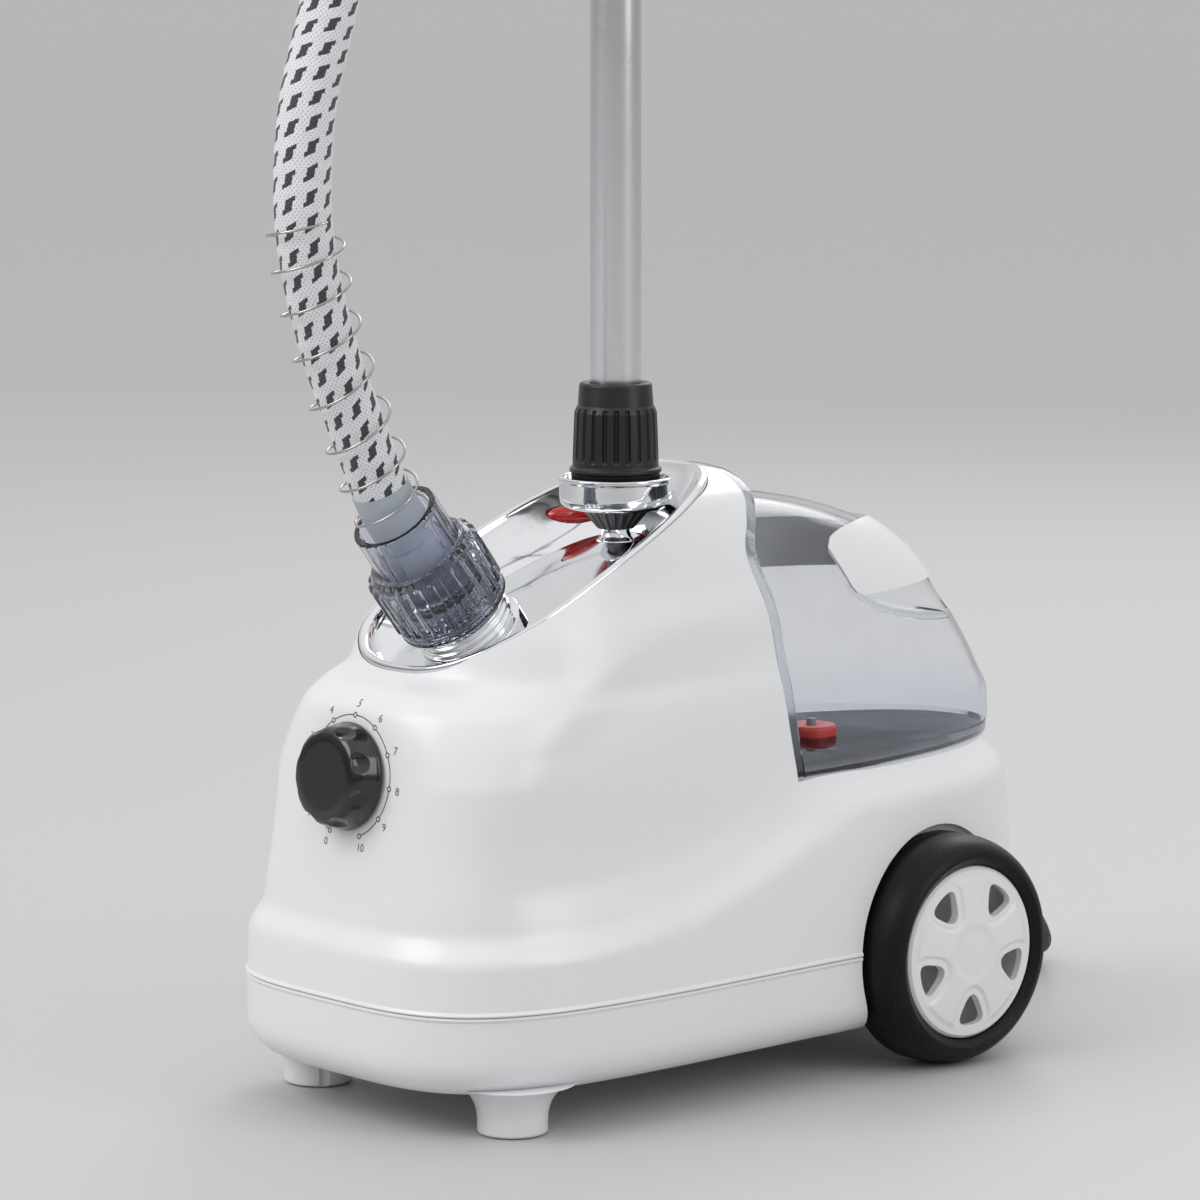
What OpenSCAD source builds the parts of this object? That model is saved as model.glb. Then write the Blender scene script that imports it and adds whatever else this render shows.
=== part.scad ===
// Upright garment steamer: a wheeled base with a water tank and boiler, a telescopic pole,
// a steam hose and a steam head. Millimetres; +Z is up, the nose points along -Y, X = 0 is the
// symmetry plane and Z = 0 is the surface it stands on.

/* [Body] */
// Overall width of the body over its skirt
body_w = 220; // [184:1:264]
// Overall length of the body over its skirt
body_l = 448; // [373:1:538]
// Height of the ridge between the dish and the tank
ridge_h = 311; // [300:0.5:373]
// Wall of the moulded housings
wall = 2.5; // [2:0.1:3.2]
// How far the skirt stands out from the body
skirt_t = 6; // [5:0.5:7.5]
// Height of the base's underside above the floor
base_clear = 22; // [18:0.5:26]
// Radius of the base's lower edge
base_round = 19; // [14:1:23]
// Radius of a front foot's sole
foot_r = 17.5; // [14:0.5:21]

/* [Wheels] */
// Radius of the tyres
tyre_r = 60; // [54:0.5:64]
// Width of the tyres
tyre_w = 36; // [30:0.5:43]
// Radius of the hub caps
cap_r = 44.7; // [37:0.1:49]
// Radius of the axle
axle_r = 4; // [3.3:0.1:4.8]

/* [Pole] */
// Radius of the lower tube
pole_r = 13; // [10.8:0.1:15.6]
// Wall of both tubes
tube_t = 1; // [0.8:0.1:1.4]
// Length of the lower tube
lower_l = 546; // [460:1:655]
// Length of the upper tube
upper_l = 700; // [580:1:760]
// How much of the upper tube is inside the lower one when it is fully out
tube_overlap = 100; // [80:1:120]
// Radius of the cup that the pole stands in
cup_r = 29.5; // [28:0.1:34]

/* [Hose] */
// Radius of the steam hose
hose_r = 14.25; // [12:0.05:15]
// Radius of the hose nut over its ribs
nut_r = 30.5; // [29:0.1:36]
// Height of the hose nut
nut_h = 39; // [33:0.5:47]
// Radius of the bend spring, to the outside of its wire
spring_r = 19; // [17.5:0.1:19]
// Turns of the bend spring
spring_turns = 8; // [6:1:10]

/* [Knob and tank] */
// Radius of the control knob
knob_r = 27; // [22.5:0.5:32.4]
// Height of the control knob
knob_h = 17; // [14:0.5:20]
// Finger scoops round the knob
knob_lobes = 8; // [6:1:9]
// Radius of the tank's valve cap
valve_r = 13.5; // [12:0.5:16.2]
// Thickness of the tank's handle
handle_t = 2; // [1.7:0.1:2.4]

/* [Boiler] */
// Radius of the boiler
boiler_r = 42; // [35:0.5:47]
// Height of the boiler's lower casting
boiler_h = 45; // [37:1:54]

/* [Steam head and hanger] */
// Width of the steam plate
plate_w = 104; // [87:1:125]
// Length of one hanger arm
arm_l = 196; // [163:1:235]

/* [Hidden] */
$fn = 64;
seat = 0.3;      // air between pieces that sit on or in each other
run_gap = 0.05;  // radial air of a running fit
eps = 0.01;

// Scale of the styled shapes against the sizes they were drawn at
fx = body_w/220;
fy = body_l/448;
fz = ridge_h/311;

// ---- Small functions ----
function smooth(v) = let (u = min(1, max(0, v))) u*u*(3 - 2*u);
function spow(v, e) = (v < 0 ? -1 : 1)*pow(abs(v), e);
function lerp(a, b, u) = a + (b - a)*u;
function col(table, z, c) = lookup(z, [for (r = table) [r[0], r[c]]]);
function unit(v) = v/norm(v);
function shift(points, dy) = [for (p = points) [p[0] + dy, p[1]]];

// ---- Body styling: height, nose, tail, half-width at the front, half-width at the rear ----
body_rows = [
  [64, -218, 218, 104, 101], [100, -216, 218, 101, 99], [141, -210, 216, 96, 94],
  [172, -206, 205, 94, 88], [203, -202, 195, 88, 83], [214, -193, 192, 83, 80],
  [221, -178, 186, 81, 78], [240, -171, 172, 75, 74], [258, -160, 155, 67, 68],
  [278, -124, 130, 62, 60], [291, -110, 100, 59, 52], [299, -104, 80, 57, 45],
  [303, -100, 68, 52, 38], [307, -95, 56, 42, 30], [310, -88, 44, 28, 20], [311, -78, 34, 8, 6]];
front_mid = -70;
rear_mid = 14;
// How square the front is in plan, by height: the face with the knob is flat, the top is round
front_n = [[64, 3.6], [172, 4], [192, 3.4], [216, 2.7]];
rear_n = 2.4;
arc_n = 19;   // steps in each end's arc
side_n = 3;   // points along each straight side
belt_z = 64*fz;

// Section outline: [x, y, outward x, outward y] all the way round
function outline(front_w, rear_w, nose, tail, n_front, n_rear) = concat(
  [for (i = [0:arc_n]) let (t = 180*i/arc_n, c = spow(cos(t), 2/n_rear), s = spow(sin(t), 2/n_rear))
    [rear_w*c, rear_mid + (tail - rear_mid)*s, c, s]],
  [for (i = [1:side_n]) let (u = i/(side_n + 1))
    [-lerp(rear_w, front_w, u), lerp(rear_mid, front_mid, u), -1, 0]],
  [for (i = [0:arc_n]) let (t = 180 + 180*i/arc_n, c = spow(cos(t), 2/n_front), s = spow(sin(t), 2/n_front))
    [front_w*c, front_mid + (front_mid - nose)*s, c, s]],
  [for (i = [1:side_n]) let (u = i/(side_n + 1))
    [lerp(front_w, rear_w, u), lerp(front_mid, rear_mid, u), 1, 0]]);

// The skirt's shoulder is low at the nose and rises along the side into the wheel fender
function shoulder(y) = min(166, 95 + 0.00145*pow(max(0, y + 150), 2));
function skirt(z, y) = skirt_t*smooth((shoulder(y) - z)/16 + 0.5);
// The ledge round the tank's foot rolls inwards
function ledge(z, y) = 9*smooth((y - 18)/30)*pow(smooth((z - 134)/24), 1.5);
// A shallow hollow in each side, between the nose's crease and the fender
function crease_y(z) = lookup(z, [[93, -199], [146, -191], [186, -173], [215, -128], [244, -67]]);
function hollow(z, y) = 4*smooth((y - crease_y(z))/45)*smooth((30 - y)/70)
  *smooth((z - shoulder(y) - 4)/26)*smooth((252 - z)/50);

function body_ring(z, grow, drop = 0) = [
  for (p = outline(col(body_rows, z, 3), col(body_rows, z, 4), col(body_rows, z, 1),
    col(body_rows, z, 2), lookup(z, front_n), rear_n))
    let (g = grow + skirt(z, p[1]) - ledge(z, p[1]) - hollow(z, p[1])*abs(p[2]))
    [fx*p[0] + g*p[2], fy*p[1] + g*p[3], fz*z - drop]];

// Closed skin through a stack of rings that have equally many points
module skin(rings) {
  m = len(rings[0]);
  k = len(rings);
  polyhedron(
    points = [for (r = rings) each r],
    faces = concat(
      [[for (i = [0:m - 1]) i]],
      [for (j = [0:k - 2]) for (i = [0:m - 1]) let (a = j*m + i, b = j*m + (i + 1)%m)
        each [[a, a + m, b + m], [a, b + m, b]]],
      [[for (i = [m - 1:-1:0]) (k - 1)*m + i]]));
}

outer_z = [64, 76, 86, 94, 102, 112, 124, 138, 148, 157, 166, 178, 192, 206, 216, 228,
  242, 256, 268, 278, 286, 293, 299, 303, 307, 309.5, 311];
inner_z = [64, 84, 100, 124, 140, 157, 178, 206, 220, 240, 258, 278, 293, 301, 306, 309];

module body_loft() skin([for (z = outer_z) body_ring(z, 0)]);
module body_inside() skin(concat([body_ring(64, -wall, 1)],
  [for (z = inner_z) body_ring(z, -wall, wall*smooth((z - 225)/60))]));

// ---- Seam between housing and tank, in side view: [y, z] ----
seam_rows = [[14, 156], [10, 209], [9, 231], [7, 248], [4, 260], [2.6, 270], [4, 277],
  [9, 285], [18, 300], [20, 305], [20, 311]];
seam = [for (p = seam_rows) [fy*p[0], fz*p[1]]];
shelf_z = 156*fz;
far_y = body_l;       // beyond the tail
high_z = ridge_h + 60; // above the ridge

// Extrudes a side-view outline of [y, z] points across the body
module across(points, w = 2*body_w) {
  rotate([90, 0, 90]) linear_extrude(height = w, center = true) polygon(points);
}

// Everything behind the seam, moved back by dy, and above z0
module behind_seam(dy, z0) {
  s = shift(seam, dy);
  across(concat([[s[0][0], z0]], s, [[s[len(s) - 1][0], high_z], [far_y, high_z], [far_y, z0]]));
}

// ---- Wheel places ----
wheel_y = 107.5*fy;
wheel_z = tyre_r;
wheel_proud = 15;                      // how far the wheels stand out of the body
wheel_out = body_w/2 + wheel_proud;
wheel_in = wheel_out - tyre_w;
well_r = tyre_r + 3.5;
well_x = wheel_in - 4;

module wheel_wells(r, x0) {
  for (side = [-1, 1]) translate([side*x0, wheel_y, wheel_z]) rotate([0, 90*side, 0])
    cylinder(r = r, h = body_w, $fn = 72);
}

module axle_hole() {
  translate([0, wheel_y, wheel_z]) rotate([0, 90, 0]) cylinder(r = axle_r + 1, h = 2*body_w, center = true, $fn = 32);
}

// ---- Dish outline and levels ----
dish_y = -108;
dish_w = 63;
dish_back = 123;
dish_front = 69;
dish_t = 2;
lip_w = 5;
floor_y = -92;
floor_w = 38;
floor_reach = 74;
pole_y = -30*fy;
floor_slope = 0.405;
floor_at_pole = 273*fz;
floor_tilt = atan(floor_slope*fz/fy);
function rim_z(y) = fz*(311 - 0.2*pow(max(0, 15 - y), 1.15) - 0.004*pow(max(0, -150 - y), 2));
function floor_z(y) = floor_at_pole + floor_slope*fz/fy*(y - pole_y);
// Rim point i of n, moved inwards by inset: [x, y, height of the rim]
function rim_point(t, inset) = let (
    back = sin(t) >= 0, e = 2/(back ? 2.4 : 2.5), c = spow(cos(t), e), s = spow(sin(t), e),
    y = dish_y + (back ? dish_back : dish_front)*s)
  [(fx*dish_w - inset)*c, fy*y - inset*s, rim_z(y)];
function floor_point(t, k) = let (e = 2/2.4, c = spow(cos(t), e), s = spow(sin(t), e))
  [k*fx*floor_w*c, fy*(floor_y + k*floor_reach*s)];
dish_n = 48;
function rim_ring(inset, up) = [for (i = [0:dish_n - 1]) let (p = rim_point(360*(i + 0.5)/dish_n, inset))
  [p[0], p[1], p[2] + up]];
function floor_ring(k, down) = [for (i = [0:dish_n - 1]) let (p = floor_point(360*(i + 0.5)/dish_n, k))
  [p[0], p[1], floor_z(p[1]) - down]];
// Wall rings run from the lip (u = 0) to the floor (u = 1)
function wall_ring(u, down) = let (a = rim_ring(lip_w + 1, -3), b = floor_ring(1, 0))
  [for (i = [0:dish_n - 1]) let (q = lerp(a[i], b[i], u)) [q[0], q[1], q[2] - down - 3*sin(180*u)]];

module dish_prism(grow) {
  translate([0, 0, 200*fz]) linear_extrude(height = 140*fz)
    polygon([for (p = rim_ring(-grow, 0)) [p[0], p[1]]]);
}

// ---- Outlet frame: on the dish's floor, leaning forwards ----
port_y = -126*fy;
port_z = floor_z(port_y);
port_tilt = 38;
port_dir = [0, -sin(port_tilt), cos(port_tilt)];
neck_r = 12;
module at_port() translate([0, port_y, port_z]) rotate([port_tilt, 0, 0]) children();

// ---- Knob frame: on the nose, axis forwards and slightly up ----
knob_z = 172.5*fz;
nose_y = -206*fy;
knob_tilt = 83;
shaft_r = 3;
bush_r = 5;
module at_knob() translate([0, nose_y, knob_z]) rotate([knob_tilt, 0, 0]) children();

// ---- Lamp frame: on the dish's left wall ----
lamp_pos = [-36.5*fx, -25.8*fy, 284.3*fz];
lamp_lean = 55;
lamp_turn = -42;
lamp_half = [5, 14.5];   // across and along the dish
module at_lamp() translate(lamp_pos) rotate([0, lamp_lean, lamp_turn]) children();

// ---- Screws ----
screw_r = 2;
screw_places = [[58*fx, -176*fy], [70*fx, 188*fy]];
screw_head_z = base_clear + 18;
boss_r = 6.5;
well_hole_r = 4.2;
module at_screws() {
  for (p = screw_places) for (side = [-1, 1]) translate([side*p[0], p[1], 0]) children();
}

// ---- Tank valve and inlet ----
valve_y = 109*fy;
valve_neck_r = valve_r - 3;
inlet_r = valve_neck_r + 11.5;
inlet_depth = 22;
inlet_z = shelf_z - inlet_depth;
neck_drop = 6;        // how far the valve's neck reaches below the shelf

// ---- Cord ----
cord_r = 3.5;
cord_z = 50;
gland_l = 26;
tail_y = body_l/2;
coil_mid_r = 42;
coil_turns_wide = 2;
coil_turns_high = 3;
coil_pos = [-85, 286];
gland_end = tail_y + gland_l;
cord_route = [[0, gland_end, cord_z], [0, 262, 49], [-4, 284, 40], [-15, 306, 22], [-34, 323, 10],
  [-58, 330, 4.5], [-85, 331.5, 3.6]];
tail_route = [[-85, 331.5, 17.4], [-108, 330, 17.2], [-132, 322, 17], [-152, 308, 17], [-162, 294, 17]];
plug_r = 17;
plug_turn = 55;       // the way the plug's back faces, from +X

// ---- Base pan ----
function base_inset(a) = base_round*(1 - sin(a));
function base_ring(z, grow) = [for (p = body_ring(64, grow)) [p[0], p[1], z]];
base_top = belt_z - seat;

module base_loft(grow, z0, top) {
  skin(concat(
    [for (a = [0:15:90]) base_ring(z0 + (base_round + grow)*(1 - cos(a)), grow - base_inset(a))],
    [base_ring(top, grow)]));
}

foot_places = [[76*fx, -166*fy], [-76*fx, -166*fy]];
pad_r = 12;
pad_t = 2;
foot_lift = 0.6;     // the rubber pads stand this far out of the feet

// One foot: a round sole that flares into the underside
module foot_flare() {
  flare = 15;
  top = base_clear + 4;
  rotate_extrude($fn = 48) polygon(concat(
    [[0, foot_lift], [foot_r - 1, foot_lift], [foot_r, foot_lift + 1]],
    [for (a = [0:15:90]) [foot_r + flare*(1 - cos(a)), 7 + (top - 7)*sin(a)]],
    [[0, top]]));
}

module base_pan() {
  color("white") resize([0, 0, 0]) difference() {
    union() {
      difference() {
        base_loft(0, base_clear, base_top);
        base_loft(-wall, base_clear + wall, belt_z + 1);
      }
      // wheel-well liners close the inside
      intersection() {
        base_loft(-eps, base_clear, base_top);
        wheel_wells(well_r + wall, well_x - wall);
      }
      // screw columns
      intersection() {
        base_loft(-eps, base_clear, base_top);
        at_screws() cylinder(r = boss_r, h = belt_z, $fn = 24);
      }
      // feet
      intersection() {
        for (p = foot_places) translate([p[0], p[1], 0]) foot_flare();
        translate([0, 0, -1]) linear_extrude(height = base_clear + 10)
          polygon([for (p = body_ring(64, -4)) [p[0], p[1]]]);
      }
    }
    wheel_wells(well_r, well_x);
    axle_hole();
    for (p = foot_places) translate([p[0], p[1], -eps])
      cylinder(r = pad_r + seat, h = pad_t + seat, $fn = 32);
    at_screws() {
      cylinder(r = well_hole_r, h = screw_head_z, $fn = 24);
      cylinder(r = screw_r + seat, h = belt_z + 1, $fn = 16);
    }
    // mains lead
    translate([0, tail_y - 20, cord_z]) rotate([-90, 0, 0]) cylinder(r = gland_neck_r + seat, h = 40, $fn = 32);
  }
}

module foot_pads() {
  color("dimgray") for (p = foot_places) translate([p[0], p[1], 0]) cylinder(r = pad_r, h = pad_t);
}

// ---- Upper housing ----
module housing_bosses() {
  intersection() {
    body_loft();
    at_screws() {
      cylinder(r = boss_r, h = belt_z + 45, $fn = 24);
      // a web joins each boss to the nearest side wall
      translate([-60*fx, -1.5, 0]) cube([120*fx, 3, belt_z + 40]);
    }
    for (side = [-1, 1]) translate([side*(body_w/2 - 20*fx), 0, belt_z + 150/2])
      cube([100*fx, 2*body_l, 150], center = true);
  }
}

module upper_housing() {
  color("white") resize([0, 0, 0]) difference() {
    union() {
      difference() {
        body_loft();
        body_inside();
      }
      // seam wall and tank shelf
      intersection() {
        body_loft();
        difference() {
          behind_seam(-wall, shelf_z - wall);
          behind_seam(0, shelf_z);
        }
      }
      intersection() {
        body_loft();
        wheel_wells(well_r + wall, well_x - wall);
      }
      housing_bosses();
    }
    behind_seam(0, shelf_z);
    dish_prism(seat);
    wheel_wells(well_r, well_x);
    axle_hole();
    at_screws() cylinder(r = screw_r - 0.2, h = belt_z + 30, $fn = 16);
    translate([0, valve_y, shelf_z - 30]) cylinder(r = inlet_r + seat, h = 60, $fn = 48);
    at_knob() translate([0, 0, -12]) cylinder(r = bush_r + seat, h = 24, $fn = 32);
  }
}

module dish() {
  color("silver") resize([0, 0, 0]) difference() {
    skin(concat(
      [floor_ring(0.02, dish_t), floor_ring(1.02, dish_t)],
      [wall_ring(0.5, dish_t + 1)],
      [rim_ring(lip_w + 1 - dish_t, -6), rim_ring(0.5, -6), rim_ring(0, -5), rim_ring(0, 0.2),
        rim_ring(1, 1.4), rim_ring(2.5, 1.8), rim_ring(4, 1.2), rim_ring(lip_w, -0.4)],
      [for (u = [0, 0.25, 0.5, 0.75]) wall_ring(u, 0)],
      [floor_ring(1, 0), floor_ring(0.02, 0)]));
    // outlet neck, pole stud and lamp
    at_port() cylinder(r = neck_r + seat, h = 60, center = true, $fn = 32);
    translate([0, pole_y, floor_at_pole - 30]) cylinder(r = stud_r + seat, h = 60, $fn = 32);
    at_lamp() resize([2*lamp_half[0] + 2*seat, 2*lamp_half[1] + 2*seat, 40])
      cylinder(r = 10, h = 40, center = true, $fn = 32);
  }
}

module lamp_lens() {
  color("red") at_lamp() resize([2*lamp_half[0], 2*lamp_half[1], 7]) sphere(r = 10, $fn = 18);
}

lamp_r = 4.5;
module pilot_lamp() {
  color("orange") at_lamp() translate([0, 0, -10.5 - seat]) {
    cylinder(r = lamp_r, h = 6.5);
    translate([0, 0, -5]) cylinder(r = lamp_r + 1.5, h = 5);
  }
}

// ---- Knob and switch ----
module control_knob() {
  scoop_r = 10;
  color("black") resize([0, 0, 0]) at_knob() difference() {
    rotate_extrude() polygon([[0, 1], [knob_r, 1], [knob_r, 3], [knob_r - 0.6, 4.4], [knob_r - 2.4, knob_h - 4],
      [knob_r - 3.4, knob_h - 1.8], [knob_r - 5.4, knob_h - 0.4], [knob_r - 9, knob_h], [0, knob_h]]);
    for (k = [0:knob_lobes - 1]) rotate([0, 0, 360*(k + 0.5)/knob_lobes])
      translate([knob_r + 4.6, 0, knob_h - 1]) sphere(r = scoop_r, $fn = 20);
    cylinder(r = shaft_r + seat/10, h = knob_h - 3);
  }
}

module switch_shaft() {
  color("silver") at_knob() translate([0, 0, -20]) cylinder(r = shaft_r, h = 20 + knob_h - 3 - seat);
}

module rotary_switch() {
  size = 34;
  color("dimgray") at_knob() difference() {
    union() {
      translate([0, 0, -6 - 12]) cube([size, size, 24], center = true);
      translate([0, 0, -6.1]) cylinder(r = bush_r, h = 6.6);
      for (x = [-9, 0, 9]) translate([x - 1.5, size/2 - 6, -6 - 24 - 8]) cube([3, 0.8, 8.1]);
    }
    translate([0, 0, -20.3]) cylinder(r = shaft_r + run_gap, h = 40);
  }
}

module base_screws() {
  color("silver") at_screws() {
    translate([0, 0, screw_head_z - 3]) cylinder(r = well_hole_r - seat, h = 3 - eps);
    translate([0, 0, screw_head_z - eps]) cylinder(r = screw_r - 0.25, h = 38);
  }
}

// ---- Pole ----
cup_z = 291.5*fz;
cup_h = 16.5;
cup_floor = 2.5;
pole_z = cup_z + cup_floor;
stem_r = 7.3;
stud_r = 5;
cone_h = 10.5;
collet_t = 3;
collet_h = 44;
nut_z = cup_z + 14.5;
upper_r = pole_r - tube_t - 1;
lock_h = 50;
lower_top = pole_z + lower_l;
upper_z = lower_top - tube_overlap;
upper_top = upper_z + upper_l;
clamp_z = lower_top - 24;

// Chrome cup on its stem; the stem's foot is cut to the dish's slanted floor
module pole_cup() {
  foot_z = floor_at_pole;
  color("silver") difference() {
    translate([0, pole_y, 0]) rotate_extrude() polygon([
      [stud_r + run_gap, foot_z - 6], [stem_r + 2.7, foot_z - 6], [stem_r + 2.7, foot_z + 1],
      [stem_r + 0.8, foot_z + 3.5], [stem_r, foot_z + 6],
      [stem_r, cup_z], [cup_r - 5, cup_z], [cup_r - 1.5, cup_z + 2], [cup_r - 0.6, cup_z + 6],
      [cup_r - 0.6, cup_z + cup_h - 3], [cup_r, cup_z + cup_h - 2], [cup_r, cup_z + cup_h - 0.6],
      [cup_r - 0.8, cup_z + cup_h], [cup_r - 2.4, cup_z + cup_h], [cup_r - 3, cup_z + 5],
      [cup_r - 5.5, cup_z + cup_floor], [stud_r + run_gap, cup_z + cup_floor]]);
    translate([0, pole_y, foot_z + seat]) rotate([floor_tilt, 0, 0])
      translate([-50, -50, -60]) cube([100, 100, 60]);
  }
}

module socket_cone() {
  ribs = 20;
  color("black") translate([0, pole_y, 0]) union() {
    difference() {
      translate([0, 0, cup_z - cone_h]) cylinder(r1 = 8.6, r2 = 17.4, h = cone_h - seat/10);
      translate([0, 0, cup_z - cone_h - 1]) cylinder(r = stem_r + run_gap, h = cone_h + 2);
    }
    for (k = [0:ribs - 1]) rotate([0, 0, 360*k/ribs]) translate([8.4, 0, cup_z - cone_h + 0.2])
      rotate([0, 39.6, 0]) translate([-0.9, -0.6, 0]) cube([1.5, 1.2, 12.5]);
  }
}

// Split collet that the lock nut closes on the tube
module pole_collet() {
  collet_r = pole_r + run_gap + collet_t;
  color("black") translate([0, pole_y, pole_z + run_gap]) difference() {
    union() {
      cylinder(r = collet_r, h = collet_h);
      cylinder(r = cup_r - 6, h = 4);
    }
    translate([0, 0, -1]) cylinder(r = pole_r + run_gap, h = collet_h + 2);
    for (a = [0:60:120]) rotate([0, 0, a])
      translate([-collet_r - 1, -0.6, 20]) cube([2*collet_r + 2, 1.2, collet_h]);
  }
}

module pole_lock_nut() {
  bore = pole_r + collet_t + 2*seat;
  flutes = 22;
  base_r = pole_r + 9;
  collar_h = 12;
  color("#202124") translate([0, pole_y, nut_z]) difference() {
    rotate_extrude() polygon([
      [bore, 0], [base_r + 0.6, 0], [base_r + 0.6, 4], [base_r + 1.5, 4.4], [base_r + 1.5, 6.4],
      [base_r, 7], [base_r - 1, lock_h - collar_h - 3], [base_r - 2.2, lock_h - collar_h],
      [pole_r + 6.3, lock_h - collar_h + 0.4], [pole_r + 5.6, lock_h - 1], [pole_r + 4.8, lock_h],
      [pole_r + 0.5, lock_h], [pole_r + 0.5, lock_h - 9], [bore, lock_h - 13]]);
    for (k = [0:flutes - 1]) rotate([0, 0, 360*(k + 0.5)/flutes])
      translate([base_r - 1.1, -1.3, 12]) cube([4, 2.6, lock_h - collar_h - 8]);
  }
}

module pole_support() {
  tube_top = floor_z(pole_y - support_r) - dish_t - 1.5;
  floor_top = base_clear + wall;
  color("gray") translate([0, pole_y, 0]) difference() {
    union() {
      translate([0, 0, floor_top]) cylinder(r = support_r, h = tube_top - floor_top);
      translate([0, 0, floor_top]) cylinder(r = support_r + 10, h = 4);
      translate([0, 0, tube_top - 20]) cylinder(r = stud_r, h = pole_z - 1 - tube_top + 20);
    }
    translate([0, 0, floor_top - 1]) cylinder(r = support_r - 2.5, h = tube_top - floor_top - 15);
  }
}
support_r = 14;

module pole_lower() {
  color("silver") translate([0, pole_y, pole_z + run_gap]) difference() {
    cylinder(r = pole_r, h = lower_l);
    translate([0, 0, -1]) cylinder(r = pole_r - tube_t, h = lower_l + 2);
  }
}

// Upper tube with the plastic guide bush at its foot
module pole_upper() {
  bush_h = 24;
  color("silver") translate([0, pole_y, upper_z]) difference() {
    union() {
      cylinder(r = upper_r, h = upper_l);
      cylinder(r = pole_r - tube_t - run_gap, h = bush_h);
    }
    translate([0, 0, -1]) cylinder(r = upper_r - tube_t, h = upper_l + 2);
  }
}

// Height clamp: sleeve on the lower tube, split collar round the upper one, ears for the lever
clamp_r = pole_r + 5;
clamp_h = 46;
ear_y = clamp_r + 7;
lever_r = 2;
ear_gap = 12;
module pole_clamp() {
  top = clamp_h - 22;
  color("#202124") translate([0, pole_y, clamp_z]) difference() {
    union() {
      cylinder(r = clamp_r, h = clamp_h);
      for (s = [-1, 1]) translate([-5, 0, top + 11 + s*(ear_gap/2 + 2) - 2]) cube([10, ear_y + 4, 4]);
    }
    translate([0, 0, -1]) cylinder(r = pole_r + run_gap, h = 25 + run_gap);
    cylinder(r = upper_r + run_gap, h = clamp_h + 1);
    translate([0, ear_y, -1]) cylinder(r = lever_r + run_gap, h = clamp_h + 2);
    translate([-1, 0, 25]) cube([2, ear_y - 3.4, clamp_h]);
    translate([0, ear_y, top + 11 - ear_gap/2]) cylinder(r = 6, h = ear_gap);
  }
}

module clamp_lever() {
  h = ear_gap - 2*seat;
  color("#202124") translate([0, pole_y + ear_y, clamp_z + clamp_h - 22 + 11 - h/2]) difference() {
    union() {
      cylinder(r = 5, h = h);
      translate([0, -3, 0]) cube([clamp_r + 7, 6, h]);
      translate([clamp_r + 2, -44, 0]) cube([5, 47, h]);
    }
    translate([0, 0, -1]) cylinder(r = lever_r + run_gap, h = h + 2);
  }
}

module clamp_pin() {
  color("silver") translate([0, pole_y + ear_y, clamp_z + clamp_h - 22 + 11 - ear_gap/2 - 4.4]) {
    cylinder(r = lever_r, h = ear_gap + 8.8);
    translate([0, 0, ear_gap + 8.8]) cylinder(r = lever_r + 1.2, h = 1.2);
  }
}

// ---- Steam outlet and hose end; heights run along the outlet's axis ----
thread_r = nut_r - 5.2;
thread_h = 36;
collar_t = 3.5;
collar_r = spring_r + seat + collar_t;
collar_z = thread_h + 2;
collar_top = 82;
cuff_top = 70;
nut_from = 20;
module steam_outlet() {
  color("silver") difference() {
    union() {
      // the flange rests on the dish's floor
      difference() {
        at_port() rotate_extrude() polygon(concat(
          [[0, -8], [thread_r + 3, -8], [thread_r + 3, 4], [thread_r - 1.2, 4.5]],
          [for (k = [0:6]) each [[thread_r - 1.2, 6 + 4*k], [thread_r, 7 + 4*k], [thread_r, 8 + 4*k],
            [thread_r - 1.2, 9 + 4*k]]],
          [[thread_r - 1.2, thread_h], [0, thread_h]]));
        translate([0, port_y, port_z + seat]) rotate([floor_tilt, 0, 0])
          translate([-60, -60, -60]) cube([120, 120, 60]);
      }
      at_port() translate([0, 0, -26]) cylinder(r = neck_r, h = 36);
    }
    at_port() translate([0, 0, -30]) cylinder(r = 7, h = 80);
  }
}

module hose_nut() {
  ribs = 24;
  bore = thread_r + 0.4;
  color([0.62, 0.66, 0.86, 0.6]) at_port() difference() {
    union() {
      rotate_extrude() polygon([
        [bore, nut_from], [nut_r - 2.5, nut_from], [nut_r - 2, nut_from + nut_h - 5],
        [nut_r - 4, nut_from + nut_h], [collar_r + 0.4, nut_from + nut_h],
        [collar_r + 0.4, collar_z + 4.7], [bore, collar_z + 3.4]]);
      for (k = [0:ribs - 1]) rotate([0, 0, 360*k/ribs])
        translate([nut_r - 4, -1.7, nut_from + 6]) cube([4, 3.4, nut_h - 10]);
    }
  }
}

module hose_seal() {
  color("#303040") at_port() translate([0, 0, thread_h + 0.2]) difference() {
    cylinder(r = thread_r - 0.6, h = 1.6);
    translate([0, 0, -1]) cylinder(r = 8, h = 4);
  }
}

module hose_collar() {
  color([0.62, 0.66, 0.86, 0.6]) at_port() rotate_extrude() polygon([
    [collar_r - collar_t, collar_z], [thread_r - 0.2, collar_z], [thread_r - 0.2, collar_z + 3],
    [collar_r, collar_z + 4],
    [collar_r, collar_top], [collar_r - 0.6, collar_top + 0.6], [collar_r - collar_t, collar_top]]);
}

module hose_cuff() {
  color("#9a9ea3") at_port() difference() {
    rotate_extrude() polygon([[0, collar_z], [collar_r - collar_t - 0.1, collar_z],
      [collar_r - collar_t - 0.1, collar_z + 8], [hose_r + 1.2, collar_z + 12], [hose_r + 0.4, cuff_top],
      [0, cuff_top]]);
    translate([0, 0, collar_z - 1]) cylinder(r = 7, h = 30);
  }
}

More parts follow.
